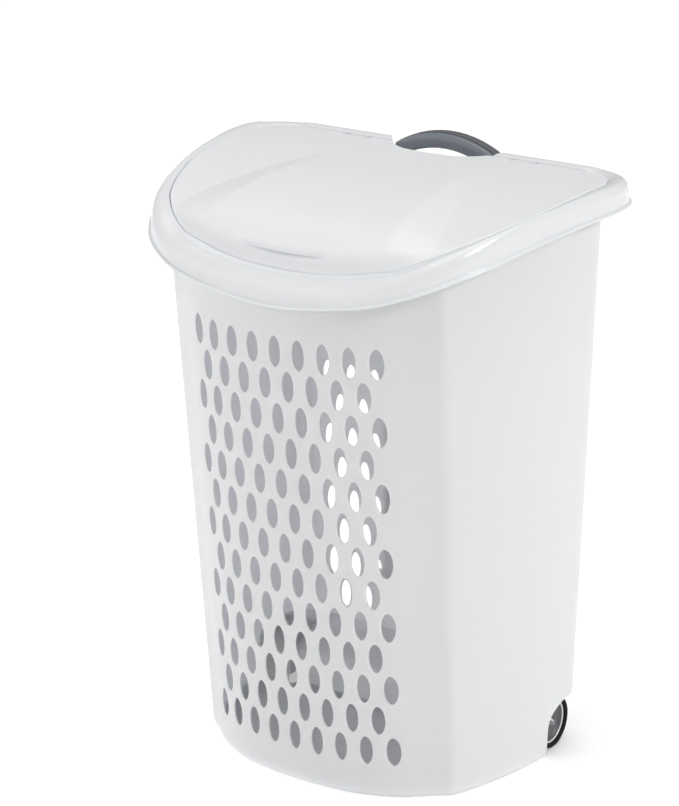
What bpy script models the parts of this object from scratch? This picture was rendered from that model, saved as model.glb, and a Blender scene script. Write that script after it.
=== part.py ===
"""Wheeled laundry hamper with a hinged lid and a pull-up handle.

Frame: +Z up, -Y is the vented front, origin on the floor under the middle of
the overall box.  All shape constants are in millimetres and are turned into
metres when a mesh is made.
"""
import bpy
import bmesh
import math
from mathutils import Vector, Matrix

for ob in list(bpy.data.objects):
    bpy.data.objects.remove(ob, do_unlink=True)

MM = 0.001

# ------------------------------------------------------------------ driving dimensions (mm)
WIDTH = 511.2            # over the rim bead
DEPTH = 390.5            # rim bead at the front to the handle guide at the back
HEIGHT = 679.5           # floor to the top of the handle arch
Y_FRONT = -DEPTH / 2
Y_BACK = DEPTH / 2

WALL = 2.5               # moulded wall thickness
FLOOR_TOP = 7.0          # inside face of the floor
BASE_RECESS = 4.0        # hollow under the floor, so the base stands on its edge
GAP = 0.3                # clearance between touching pieces

# body section: front panel y = a + b x^2 + c x^4, a facet, a crease, a side panel, a round rear corner
PANEL_HALF = 133.0
FRONT_Y0, FRONT_LEAN = -138.0, -0.0729
CREASE_X0, CREASE_DX = 165.5, 0.0185
CREASE_Y0, CREASE_DY = -73.2, -0.0855
SIDE_X0, SIDE_DX = 199.5, 0.0409
SIDE_YM = 85.0
SIDE_POWER = 1.85
REAR_Y0, REAR_DY = 150.6, 0.0018
CORNER_R0, CORNER_DR = 40.0, 0.0255

# vents
VENT_PITCH, VENT_ROW = 29.3, 37.8
VENT_TOP_Z, VENT_ROWS = 510.4, 13
VENT_W, VENT_H = 14.2, 34.0
REAR_VENT_COLS = (85.7, 101.1, 116.6, 132.0, 147.6)
REAR_VENT_Z0, REAR_VENT_ROW, REAR_VENT_ROWS = 94.2, 39.2, 11

# rim and lid
SEAM_GAP = 0.8
LID_T = 2.6
LID_SKIRT = 7.5
COLLAR_T = 2.8
HINGE_Y, HINGE_Z = 140.2, 663.2
PIN_R, BORE_R, EYE_R = 0.9, 1.15, 1.8
REAR_SEAM_Y = 147.0
NOTCH_HALF = 63.0

# handle
ARCH_R = 130.0
LEG_X, LEG_W, LEG_Y0, LEG_Y1 = 66.0, 14.0, 158.0, 170.0
LEG_BOTTOM = 352.0
HANDLE_TRAVEL = 200.0
COVER_Z0, COVER_Z1 = 96.0, 628.0

# wheels
WHEEL_Y, WHEEL_R = 95.3, 31.0
WHEEL_X0, WHEEL_X1 = 174.0, 194.0
AXLE_R = 3.0


# ------------------------------------------------------------------ small helpers
def lerp(a, b, t):
    return a + (b - a) * t


def smoothstep(t):
    t = min(max(t, 0.0), 1.0)
    return t * t * (3 - 2 * t)


def table(rows, v):
    """Smooth (monotone cubic) reading of a short table of (v, value) stations."""
    n = len(rows)
    if v <= rows[0][0]:
        return rows[0][1]
    if v >= rows[-1][0]:
        return rows[-1][1]
    d = [(rows[i + 1][1] - rows[i][1]) / (rows[i + 1][0] - rows[i][0]) for i in range(n - 1)]
    m = [d[0]] + [0.0 if d[i - 1] * d[i] <= 0 else 2 * d[i - 1] * d[i] / (d[i - 1] + d[i]) for i in range(1, n - 1)] + [d[-1]]
    for i in range(n - 1):
        if v <= rows[i + 1][0]:
            h = rows[i + 1][0] - rows[i][0]
            t = (v - rows[i][0]) / h
            return ((2 * t**3 - 3 * t**2 + 1) * rows[i][1] + (t**3 - 2 * t**2 + t) * h * m[i]
                    + (-2 * t**3 + 3 * t**2) * rows[i + 1][1] + (t**3 - t**2) * h * m[i + 1])


def resample(points, count):
    """Even spacing along an open polyline of 2-D points."""
    s = [0.0]
    for a, b in zip(points, points[1:]):
        s.append(s[-1] + math.dist(a, b))
    out, k = [], 0
    for i in range(count):
        v = s[-1] * i / (count - 1)
        while k < len(s) - 2 and s[k + 1] < v:
            k += 1
        t = 0.0 if s[k + 1] == s[k] else (v - s[k]) / (s[k + 1] - s[k])
        out.append(tuple(lerp(p, q, t) for p, q in zip(points[k], points[k + 1])))
    return out


def catmull(points, per=8):
    out = []
    n = len(points)
    for i in range(n - 1):
        p0 = points[max(i - 1, 0)]
        p1, p2 = points[i], points[i + 1]
        p3 = points[min(i + 2, n - 1)]
        for k in range(per):
            t = k / per
            out.append(tuple(0.5 * (2 * b + (c - a) * t + (2 * a - 5 * b + 4 * c - d) * t * t
                                    + (3 * b - a - 3 * c + d) * t**3) for a, b, c, d in zip(p0, p1, p2, p3)))
    out.append(points[-1])
    return out


def make_object(name, verts, faces, mat=None, smooth=None):
    me = bpy.data.meshes.new(name)
    me.from_pydata([(x * MM, y * MM, z * MM) for x, y, z in verts], [], faces)
    bm = bmesh.new()
    bm.from_mesh(me)
    bmesh.ops.remove_doubles(bm, verts=bm.verts, dist=1e-6)
    bmesh.ops.recalc_face_normals(bm, faces=bm.faces)
    if bm.calc_volume(signed=True) < 0:
        bmesh.ops.reverse_faces(bm, faces=bm.faces)
    bm.to_mesh(me)
    bm.free()
    if smooth is not None:
        me.shade_smooth()
        me.set_sharp_from_angle(angle=math.radians(smooth))
    ob = bpy.data.objects.new(name, me)
    bpy.context.scene.collection.objects.link(ob)
    if mat:
        me.materials.append(mat)
    return ob


def ring_solid(name, loops, mat=None, closed=True, smooth=None):
    """Skin a list of equal vertex loops; closed joins the last loop to the first, else the ends are capped."""
    n = len(loops[0])
    verts = [p for loop in loops for p in loop]
    faces = []
    m = len(loops)
    for a in range(m if closed else m - 1):
        b = (a + 1) % m
        for i in range(n):
            j = (i + 1) % n
            faces.append((a * n + i, a * n + j, b * n + j, b * n + i))
    if not closed:
        faces.append(tuple(range(n - 1, -1, -1)))
        faces.append(tuple((m - 1) * n + i for i in range(n)))
    return make_object(name, verts, faces, mat, smooth)


def extrude(name, outline, axis, lo, hi, mat=None, smooth=None):
    """Extrude a 2-D outline (a, b) along axis 'X', 'Y' or 'Z'."""
    def put(p, v):
        a, b = p
        return {'X': (v, a, b), 'Y': (a, v, b), 'Z': (a, b, v)}[axis]
    return ring_solid(name, [[put(p, lo) for p in outline], [put(p, hi) for p in outline]], mat, False, smooth)


def circle(cx, cy, r, n, ph=0.0):
    return [(cx + r * math.cos(2 * math.pi * (i + ph) / n), cy + r * math.sin(2 * math.pi * (i + ph) / n)) for i in range(n)]


def box(name, lo, hi, mat=None):
    return extrude(name, [(lo[0], lo[1]), (hi[0], lo[1]), (hi[0], hi[1]), (lo[0], hi[1])], 'Z', lo[2], hi[2], mat)


def joined(name, obs):
    """Several separate solids as one cutter mesh."""
    me = bpy.data.meshes.new(name)
    bm = bmesh.new()
    for ob in obs:
        bm.from_mesh(ob.data)
        bpy.data.objects.remove(ob, do_unlink=True)
    bm.to_mesh(me)
    bm.free()
    ob = bpy.data.objects.new(name, me)
    bpy.context.scene.collection.objects.link(ob)
    return ob


def boolean(ob, cutter, op='DIFFERENCE'):
    cutter.hide_render = True
    cutter.display_type = 'WIRE'
    md = ob.modifiers.new(cutter.name, 'BOOLEAN')
    md.operation = op
    md.solver = 'EXACT'
    md.object = cutter
    return md


def material(name, color, rough, metal=0.0):
    m = bpy.data.materials.new(name)
    m.use_nodes = True
    b = m.node_tree.nodes["Principled BSDF"]
    b.inputs["Base Color"].default_value = (*color, 1)
    b.inputs["Roughness"].default_value = rough
    b.inputs["Metallic"].default_value = metal
    m.diffuse_color = (*color, 1)
    return m


WHITE = material("white_moulded", (0.80, 0.81, 0.83), 0.38)
WHITE_GLOSS = material("white_rim", (0.84, 0.85, 0.86), 0.25)
GREY = material("grey_grip", (0.29, 0.31, 0.34), 0.35)
DARK_GREY = material("dark_grey_frame", (0.13, 0.135, 0.14), 0.42)
WHEEL_GREY = material("wheel_grey", (0.17, 0.18, 0.185), 0.45)
BLACK = material("tyre_black", (0.012, 0.012, 0.014), 0.6)
STEEL = material("zinc_steel", (0.55, 0.56, 0.57), 0.3, 1.0)


# ------------------------------------------------------------------ body section
def front_y(x, z):
    t = (z - 57.3) / 453.1
    b = lerp(1.1428e-3, 1.0223e-3, t)
    c = lerp(5.64e-8, 4.12e-8, t)
    return FRONT_Y0 + FRONT_LEAN * z + b * x * x + c * x**4


def half_section(z):
    """Outline of one half (x >= 0), from the middle of the front to the middle of the back."""
    pts = []
    for i in range(8):
        x = PANEL_HALF * i / 7
        pts.append((x, front_y(x, z)))
    cx, cy = CREASE_X0 + CREASE_DX * z, CREASE_Y0 + CREASE_DY * z
    fx, fy = pts[-1]
    # slightly hollow facet up to the crease
    n = Vector((cy - fy, -(cx - fx))).normalized()
    pts.append((lerp(fx, cx, 0.5) - n.x * 0.8, lerp(fy, cy, 0.5) - n.y * 0.8))
    pts.append((cx, cy))
    xm = SIDE_X0 + SIDE_DX * z
    for i in range(1, 7):
        f = 1 - i / 6
        pts.append((xm - (xm - cx) * f**SIDE_POWER, SIDE_YM + (cy - SIDE_YM) * f))
    r = CORNER_R0 + CORNER_DR * z
    yr = REAR_Y0 + REAR_DY * z
    for i in range(0, 6):
        a = math.pi / 2 * i / 5
        pts.append((xm - r + r * math.cos(a), yr - r + r * math.sin(a)))
    for x in (84.0, 76.0, 69.0, 63.0, 40.0, 0.0):
        pts.append((x, yr))
    return pts


def full_loop(half):
    """Mirror a half outline (front middle ... back middle) into one counter-clockwise loop."""
    right = list(half)
    left = [(-p[0],) + tuple(p[1:]) for p in reversed(half[1:-1])]
    return right + left


def inset_loop(loop, d):
    """Move a closed 2-D loop inwards by d along its vertex normals."""
    n = len(loop)
    out = []
    for i in range(n):
        a, p, b = Vector(loop[i - 1]), Vector(loop[i]), Vector(loop[(i + 1) % n])
        e1, e2 = (p - a).normalized(), (b - p).normalized()
        n1, n2 = Vector((-e1.y, e1.x)), Vector((-e2.y, e2.x))
        m = (n1 + n2)
        m = m / max(m.length_squared / 2, 1e-9)
        q = p + m * d
        out.append((q.x, q.y))
    return out


# ------------------------------------------------------------------ rim and lid outlines
# profile of the lid seam and of the rim bead, height against y (the top falls away to the front)
SEAM_Z = [(-166, 586.0), (-163, 592.5), (-159, 599.0), (-155, 604.5), (-149, 611.0), (-131, 620.6), (-102, 630.2),
          (-74, 638.6), (-26, 651.0), (30, 659.6), (82, 664.2), (120, 665.0), (147, 664.8)]
BEAD_Z = [(-195.3, 563.8), (-193, 570.0), (-184, 580.0), (-172, 589.5), (-162, 594.6), (-152, 599.4), (-140, 603.8),
          (-126, 608.2), (-104, 613.0), (-38, 624.5), (30, 633.5), (56, 636.0), (86, 638.0), (166, 640.0)]

SEAM_PLAN = [(0, -165.5), (22, -165.2), (44, -164.2), (64, -162.4), (83.8, -159.4), (110, -155), (128, -151.5), (137.5, -148.6),
             (152, -141), (166.4, -130.6), (180, -117), (191, -102.3), (204, -76), (213.5, -50), (221, -26.4), (226, 0),
             (229.3, 30), (232, 60), (233, 82), (233, 97)]
BEAD_PLAN = [(0, -195.25), (30, -194.8), (55, -193.7), (80, -191.8), (104, -188.6), (125.7, -184.0), (142.2, -178.6), (156.7, -171.4),
             (170.7, -162.2), (182.1, -152.4), (191.9, -140.2), (201.6, -126.0), (211, -106), (220.5, -77), (229, -42), (238, -6),
             (245.5, 32), (251.5, 62), (255, 86), (255.6, 104)]


def corner(cx, cy, r, n, a0=0.0, a1=90.0):
    return [(cx + r * math.cos(math.radians(lerp(a0, a1, i / n))), cy + r * math.sin(math.radians(lerp(a0, a1, i / n)))) for i in range(n + 1)]


def notch_y(x):
    """Front edge of the finger notch in the back of the lid."""
    x = abs(x)
    return table([(0, 117.5), (30, 119.5), (43, 125.0), (52, 131.5), (58, 138.5), (62, 143.5), (NOTCH_HALF + 4, REAR_SEAM_Y)], x)


def rim_stations(n_side=27, n_rear=3):
    """Matching (seam, bead) stations for x >= 0, front middle to back middle."""
    seam = catmull(SEAM_PLAN) + corner(183, REAR_SEAM_Y - 50, 50, 10)[1:]
    bead = catmull(BEAD_PLAN) + corner(WIDTH / 2 - 60, 166 - 60, 60, 10)[1:]
    s, b = resample(seam, n_side), resample(bead, n_side)
    out = []
    for p, q in zip(s, b):
        out.append((p, q, table(SEAM_Z, p[1]), table(BEAD_Z, q[1]), 0.0))
    # straight back edge from the corner to the handle bay
    for i in range(1, n_rear + 1):
        t = i / n_rear
        p = (lerp(183, 72, t), REAR_SEAM_Y)
        q = (lerp(WIDTH / 2 - 60, 84, t), 166.0)
        out.append((p, q, table(SEAM_Z, p[1]), 640.0, 0.0))
    # handle bay: the rim dips behind the notch so fingers reach the grip
    bay = [(67.0, 81.0, 0.0), (64.0, 78.5, 0.5), (61.5, 77.0, 1.0), (57, 74, 1.0), (52, 66, 1.0), (43, 55, 1.0), (28, 36, 1.0), (0, 0, 1.0)]
    for xs, xb, dip in bay:
        p = (xs, notch_y(xs))
        out.append((p, (xb, 166.0), lerp(664.8, 646.0, dip), lerp(640.0, 636.0, dip), dip))
    return out


def shelf_depth(y, dip):
    """Depth of the lid ledge below the seam: deeper along the back, where the hinge turns."""
    return lerp(lerp(8.2, 16.0, min(max((y - 100) / 30, 0), 1)), 5.0, dip)


STATIONS = rim_stations()


def wall_top(x, y):
    """Height of the tub's top edge at a plan point, just under the rim's ledge there."""
    X = Vector((abs(x), y))
    best = None
    for (p0, q0, s0, b0, d0), (p1, q1, s1, b1, d1) in zip(STATIONS, STATIONS[1:]):
        P0, P1 = Vector(p0), Vector(p1)
        e0, e1 = (Vector(q0) - P0).normalized(), (Vector(q1) - P1).normalized()
        c0 = e0.x * (X - P0).y - e0.y * (X - P0).x
        c1 = e1.x * (X - P1).y - e1.y * (X - P1).x
        if c0 >= -1e-6 and c1 <= 1e-6 and c0 - c1 > 1e-9:
            dist = (X - (P0 + P1) / 2).length
            if best is None or dist < best[0]:
                t = c0 / (c0 - c1)
                best = (dist, lerp(s0 - shelf_depth(p0[1], d0), s1 - shelf_depth(p1[1], d1), t))
    z = best[1] if best else STATIONS[-1][2] - shelf_depth(118, 1.0)
    step = 3.0 if y > 100 and 55 < abs(x) < 72 else 0.0        # room for the steep side of the handle bay
    return z - 2.4 - GAP - 0.5 - step


def body_loop(z_or_top, inset=0.0, drop=0.0):
    """Loop of the body at a height, or along the slanted top edge when z_or_top is 'top'."""
    if z_or_top != 'top':
        loop = full_loop(half_section(z_or_top))
        if inset:
            loop = inset_loop(loop, inset)
        return [(x, y, z_or_top) for x, y in loop]
    base = full_loop(half_section(600.0))
    out = []
    hs = [wall_top(x, y) for x, y in base]
    if inset:
        pass
    for i, h in enumerate(hs):
        loop = full_loop(half_section(h - drop))
        if inset:
            loop = inset_loop(loop, inset)
        out.append((loop[i][0], loop[i][1], h - drop))
    return out


# ------------------------------------------------------------------ tub
def loft(name, loops, mat=None, smooth=None):
    return ring_solid(name, loops, mat, False, smooth)


tub = loft("hamper_tub", [body_loop(0.0, 2.6), body_loop(2.4, 0.8), body_loop(8.0, 0.0), body_loop(290.0), body_loop('top'),
                          body_loop('top', WALL), body_loop(290.0, WALL), body_loop(FLOOR_TOP + 4, WALL),
                          body_loop(FLOOR_TOP, WALL + 2.0)], WHITE, 25)

# rear kick-up: profile (y, z) of the recess that clears the floor when the hamper is tipped
KICK = [(69.4, 0.0), (69.4, 33.0), (70.4, 39.5), (72.6, 44.8), (76.8, 49.6), (83.2, 53.6), (91.5, 57.0), (100.9, 59.4), (112.0, 61.2), (176.0, 62.0)]


def kick_profile(grow, y_end, z_lo):
    """Profile of the recess under the back edge, moved outwards by grow."""
    pts = []
    for i, (y, z) in enumerate(KICK):
        a, b = KICK[max(i - 1, 0)], KICK[min(i + 1, len(KICK) - 1)]
        t = Vector((b[0] - a[0], b[1] - a[1])).normalized()
        pts.append((y - t.y * grow, z + t.x * grow))
    pts[0] = (pts[0][0], z_lo)
    pts[-1] = (y_end, pts[-1][1])
    return pts + [(y_end, z_lo)]


def pocket_profile(r, z_lo):
    pts = [(WHEEL_Y - r, z_lo), (WHEEL_Y + r, z_lo)]
    for i in range(11):
        a = math.pi * i / 10
        pts.append((WHEEL_Y + r * math.cos(a), WHEEL_R + r * math.sin(a)))
    return pts


RIB_IN, RIB_OUT = 145.0, 150.0
PLAY = 36.0
POCKET_X = 195.4
hump = extrude("hump_kick", kick_profile(WALL, 175.0, -5.0), 'X', -260.0, 260.0)
humps = [extrude("hp", pocket_profile(PLAY + WALL, -6.0), 'X', *(sorted((s * (RIB_OUT - WALL), s * 262.0)))) for s in (-1, 1)]
hump_pockets = joined("hump_pockets", humps)
hump_clip = loft("hump_clip", [body_loop(1.3, 4.8), body_loop(8.0, 1.2), body_loop(200.0, 1.2)])
hump.hide_render = hump_clip.hide_render = True
boolean(hump, hump_pockets, 'UNION')
boolean(hump, hump_clip, 'INTERSECT')
boolean(tub, hump, 'UNION')

kick_mid = extrude("kick_mid", kick_profile(0, 175.0, -5.0), 'X', -RIB_IN, RIB_IN)
kick_sides = joined("kick_sides", [extrude("ks", kick_profile(0, 176.0, -6.0), 'X', *(sorted((s * RIB_OUT, s * 262.0)))) for s in (-1, 1)])
pockets = joined("wheel_pockets", [extrude("wp", pocket_profile(PLAY, -7.0), 'X', *(sorted((s * (RIB_OUT + 0.5), s * POCKET_X)))) for s in (-1, 1)])
rib_trim = joined("rib_trim", [extrude("rt", [(60, -8), (178, -8), (178, 50), (118, 50), (108, 19), (60, 19)], 'X', *(sorted((s * (RIB_IN - 4), s * (RIB_OUT + 4))))) for s in (-1, 1)])
axle_holes = joined("axle_holes", [extrude("ah", circle(WHEEL_Y, WHEEL_R, AXLE_R + 0.35, 16), 'X', *(sorted((s * (RIB_IN - 6), s * (RIB_OUT + 6))))) for s in (-1, 1)])
for c in (kick_mid, kick_sides, pockets, axle_holes):
    boolean(tub, c)
# lower edge of the bearing ribs, kept clear of the floor
trim = joined("rib_trims", [extrude("rt", [(55, -9), (179, -9), (179, 52.5), (120, 52.5), (108, 17), (55, 17)], 'X', *(sorted((s * (RIB_IN - 2), s * (RIB_OUT + 2))))) for s in (-1, 1)])
bpy.data.objects.remove(rib_trim, do_unlink=True)
boolean(tub, trim)

base_hollow = extrude("base_hollow", [(x, front_y(x, 0) + 22) for x in (-112, -80, -40, 0, 40, 80, 112)] + [(150, -42), (160, 40), (-160, 40), (-150, -42)], 'Z', -3.0, BASE_RECESS)
boolean(tub, base_hollow)


def vent_outline(cx, cz, n=8):
    return [(cx + VENT_W / 2 * math.cos(2 * math.pi * (i + 0.5) / n) / math.cos(math.pi / n) * 0.985,
             cz + VENT_H / 2 * math.sin(2 * math.pi * (i + 0.5) / n) / math.cos(math.pi / n) * 0.985) for i in range(n)]


vents = []
for row in range(VENT_ROWS):
    z = VENT_TOP_Z - VENT_ROW * row
    cols = [i for i in range(-4, 5)] if row % 2 == 0 else [i + 0.5 for i in range(-4, 4)]
    for i in cols:
        x = VENT_PITCH * i * (1 - 0.0016 * i * i)
        y = front_y(x, z)
        vents.append(extrude("v", vent_outline(x, z), 'Y', y - 9, y + 12))
for row in range(REAR_VENT_ROWS):
    z = REAR_VENT_Z0 + REAR_VENT_ROW * row
    for k, c in enumerate(REAR_VENT_COLS):
        if (k + row) % 2 == 1:
            x = c * (1 + 0.00028 * (z - 133))
            for s in (-1, 1):
                vents.append(extrude("v", vent_outline(s * x, z), 'Y', 138.0, 165.0))
vent_cut = joined("vent_cut", vents)
boolean(tub, vent_cut)


# ------------------------------------------------------------------ rim collar
def rim_profile(W, H, wall_d, sd, full=0.0, valley=0.0):
    """(outward, up) points of the rim's section, from the seam edge round to the lid ledge; full = squarer shoulder, valley = hollow beside the seam."""
    k = min(1.0, H / 24.0)
    drop = 9.0 * k
    s0, e, up = lerp(0.32, 0.42, full), lerp(0.88, 0.74, full), lerp(0.9, 1.9, full) * k
    up = lerp(up, 0.5, valley)
    pts = [(0.0, lerp(-0.4, -3.0, valley)), (0.8, lerp(0.15, -2.0, valley)), (2.0, lerp(0.2, -0.95, valley)), (4.6, lerp(0.35, -0.2, valley)), (s0 * W, up)]
    a, b = W - 3.1 - s0 * W, H - drop + up
    for i in range(1, 4):
        t = math.pi / 2 * i / 4
        pts.append((s0 * W + a * math.sin(t)**e, up - b * (1 - math.cos(t)**e)))
    pts.append((W - 3.1, -(H - drop)))
    pts.append((W - 2.9, -(H - 4.2 * k)))
    pts.append((W, -(H - 2.2 * k)))
    pts.append((W - 1.0, -H))
    pts.append((W - 5.6, -H))
    pts.append((W - 5.9, -(H - drop)))
    for i in (3, 1):
        t = math.pi / 2 * i / 4
        pts.append((s0 * W + (a - 2.8) * math.sin(t)**e, up - 2.8 - (b - 2.8) * (1 - math.cos(t)**e)))
    pts.append((2.6, -2.4))
    pts.append((2.6, -sd))
    so = min(max(wall_d + 2.2, 6.0), W - 6.4)
    pts.append((so, -sd))
    pts.append((so, -sd - 2.4))
    pts.append((-10.0, -sd - 2.4))
    pts.append((-10.0, -sd))
    pts.append((0.0, -sd))
    return pts


def wall_distance(p, d, z):
    """Distance from the seam point p along direction d to the body's outer face at height z."""
    loop = full_loop(half_section(z))
    best = None
    n = len(loop)
    for i in range(n):
        a, b = Vector(loop[i]), Vector(loop[(i + 1) % n])
        e = b - a
        den = d.x * e.y - d.y * e.x
        if abs(den) < 1e-9:
            continue
        w = a - p
        t = (w.x * e.y - w.y * e.x) / den
        u = (w.x * d.y - w.y * d.x) / den
        if 0 <= u <= 1 and (best is None or abs(t) < abs(best)):
            best = t
    return best if best is not None else 6.0


loops = []
for p, q, sz, bz, dip in STATIONS:
    P, Q = Vector(p), Vector(q)
    d = (Q - P).normalized()
    W = (Q - P).length
    sd = shelf_depth(p[1], dip)
    wd = wall_distance(P, d, sz - sd)
    full = smoothstep((p[1] + 150) / 90) * (1 - dip)
    valley = smoothstep((p[1] - 118) / 12) * smoothstep((p[0] - 180) / 12)      # lets the lid's rear corner swing
    loops.append([(P.x + d.x * w, P.y + d.y * w, sz + h) for w, h in rim_profile(W, sz - bz, wd, sd, full, valley)])
mirror = [[(-x, y, z) for x, y, z in loop] for loop in reversed(loops[1:-1])]
collar = ring_solid("rim_collar", loops + mirror, WHITE_GLOSS, True, 35)

# hinge brackets on the ledge, and the openings for the handle legs
HB = [(92.0, 97.4), (122.6, 128.0)]
stem = [(HINGE_Y - 3.6, 646.6), (HINGE_Y + 3.6, 646.6), (HINGE_Y + 2.2, 657.0)] + [(HINGE_Y + EYE_R * math.cos(math.radians(a)), HINGE_Z + EYE_R * math.sin(math.radians(a))) for a in range(0, 181, 30)] + [(HINGE_Y - 2.2, 657.0)]
for s in (-1, 1):
    for a, b in HB:
        br = extrude("bracket_%s_%d" % ("left" if s < 0 else "right", a), stem, 'X', *sorted((s * a, s * b)))
        boolean(collar, br, 'UNION')
pin_bores = joined("pin_bores", [extrude("pb", circle(HINGE_Y, HINGE_Z, BORE_R, 12), 'X', *sorted((s * 91.0, s * 129.0))) for s in (-1, 1)])
boolean(collar, pin_bores)
leg_slots = joined("leg_slots", [box("ls", (s * LEG_X - LEG_W / 2 - 1.2, LEG_Y0 - 1.2, 590), (s * LEG_X + LEG_W / 2 + 1.2, 180, 700)) for s in (-1, 1)])
boolean(collar, leg_slots)


# ------------------------------------------------------------------ lid
def lid_z(x, y, edge):
    """Top of the lid: the seam's profile with a raised middle between two tapering facets."""
    z = table(SEAM_Z, max(y, -166))
    xa = abs(x)
    x_in = lerp(112, 88, (y + 122) / 177)
    x_out = lerp(160, 97, (y + 108) / 168)
    if x_out < x_in + 4:
        x_out = x_in + 4
    f = 1 - min(max((xa - x_in) / (x_out - x_in), 0.0), 1.0)
    g = min(max((75 - y) / 190.0, 0.0), 1.0) * smoothstep((y + 166) / 12.0)
    return z + 7.0 * f * g * smoothstep(edge / 0.06)


def lid_outline():
    """Closed plan loop of the lid, inside the seam."""
    half = [p for p, q, sz, bz, dip in STATIONS]
    return inset_loop(full_loop(half), SEAM_GAP)


outline = lid_outline()
LC = (0.0, -12.0)
rings_f = [1.0, 0.97, 0.88, 0.72, 0.50, 0.25]


def at(f):
    return [(lerp(LC[0], x, f), lerp(LC[1], y, f)) for x, y in outline]


def edge_round(x, y):
    """How far the hinge-side edge is rounded down, so that it stays inside its own swing."""
    return 1.0 * ((y - HINGE_Y) / 6.0)**2 if y > HINGE_Y else 0.0


def top_z(x, y, f):
    return lid_z(x, y, 1 - f) - edge_round(x, y) - (0.6 if f == 1.0 else 0.0)


loops = []
for f in reversed(rings_f):
    loops.append([(x, y, top_z(x, y, f)) for x, y in at(f)])


def skirt_drop(x, y):
    inside = smoothstep((NOTCH_HALF + 4 - abs(x)) / 4.0) if y > 100 else 0.0
    return lerp(LID_SKIRT, 13.5, inside)


edge = at(1.0)
inner = inset_loop(edge, 2.2)
loops.append([(x, y, min(top_z(x, y, 1.0) - 1.0, table(SEAM_Z, max(y, -166)) - skirt_drop(x, y))) for x, y in edge])
loops.append([(x, y, z) for (x, y), (_, _, z) in zip(inner, loops[-1])])
ins = inset_loop(edge, 2.4)
loops.append([(x, y, lid_z(x, y, 0.01) - edge_round(x, y) - LID_T - 0.6) for x, y in ins])
for f in (0.88, 0.60, 0.30):
    loops.append([(x, y, lid_z(x, y, 1 - f) - edge_round(x, y) - LID_T) for x, y in at(f)])
n = len(outline)
verts = [p for loop in loops for p in loop]
faces = []
for a in range(len(loops) - 1):
    for i in range(n):
        j = (i + 1) % n
        faces.append((a * n + i, a * n + j, (a + 1) * n + j, (a + 1) * n + i))
verts.append((LC[0], LC[1], lid_z(*LC, 1.0)))
top_c = len(verts) - 1
verts.append((LC[0], LC[1], lid_z(*LC, 1.0) - LID_T))
bot_c = len(verts) - 1
last = (len(loops) - 1) * n
for i in range(n):
    j = (i + 1) % n
    faces.append((top_c, j, i))
    faces.append((bot_c, last + i, last + j))
lid = make_object("lid", verts, faces, WHITE, 30)

# no skirt beside the hinge, a slot through the rear edge for each bracket, and a knuckle under the skin between them
skirt_cut = joined("lid_skirt_cut", [box("lp", (min(s * 91.2, s * 128.8), 138.0, 640.0), (max(s * 91.2, s * 128.8), 150.0, 661.4)) for s in (-1, 1)])
bracket_slots = joined("lid_bracket_slots", [box("ls", (min(s * a, s * b), 135.4, 639.0), (max(s * a, s * b), 151.0, 671.0)) for s in (-1, 1) for a, b in ((91.2, 98.2), (121.8, 128.8))])
boolean(lid, skirt_cut)
boolean(lid, bracket_slots)
knuckle = [(HINGE_Y - 6.0, 663.6), (HINGE_Y - 6.0, 662.2), (HINGE_Y - 2.7, 661.4)] + [
    (HINGE_Y + 2.6 * math.cos(math.radians(a)), HINGE_Z + 2.6 * math.sin(math.radians(a))) for a in range(225, 361, 27)] + [(HINGE_Y + 2.6, 663.6)]
knuckles = joined("lid_knuckles", [extrude("lk", knuckle, 'X', *sorted((s * 98.6, s * 121.4))) for s in (-1, 1)])
boolean(lid, knuckles, 'UNION')
lid_bore = joined("lid_bore", [extrude("lb", circle(HINGE_Y, HINGE_Z, BORE_R, 12), 'X', *sorted((s * 96.0, s * 124.0))) for s in (-1, 1)])
boolean(lid, lid_bore)

for s, side in ((-1, "left"), (1, "right")):
    extrude("hinge_pin_" + side, circle(HINGE_Y, HINGE_Z, PIN_R, 12), 'X', *sorted((s * 91.4, s * 128.6)), mat=STEEL, smooth=40)


# ------------------------------------------------------------------ pull handle
def arch_path(r_off, bend=True, n=18):
    """Half arch plus leg: points (x, z) at an offset inwards from the outer face."""
    pts = []
    r = ARCH_R - r_off
    zc = HEIGHT - ARCH_R
    a1 = math.radians(30)
    for i in range(n // 2 + 1):
        a = a1 * i / (n // 2)
        pts.append((r * math.sin(a), zc + r * math.cos(a)))
    # tightening bend from the arch into the upright leg
    r2 = 16.0
    c = (ARCH_R - r2) * math.sin(a1), zc + (ARCH_R - r2) * math.cos(a1)
    for i in range(1, 7 if bend else 1):
        a = a1 + (math.pi / 2 - a1) * i / 6
        pts.append((c[0] + (r2 - r_off) * math.sin(a), c[1] + (r2 - r_off) * math.cos(a)))
    return pts


LEG_OUT = (ARCH_R - 16.0) * math.sin(math.radians(30)) + 16.0       # outer face of the leg
LEG_X = LEG_OUT - LEG_W / 2


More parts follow.
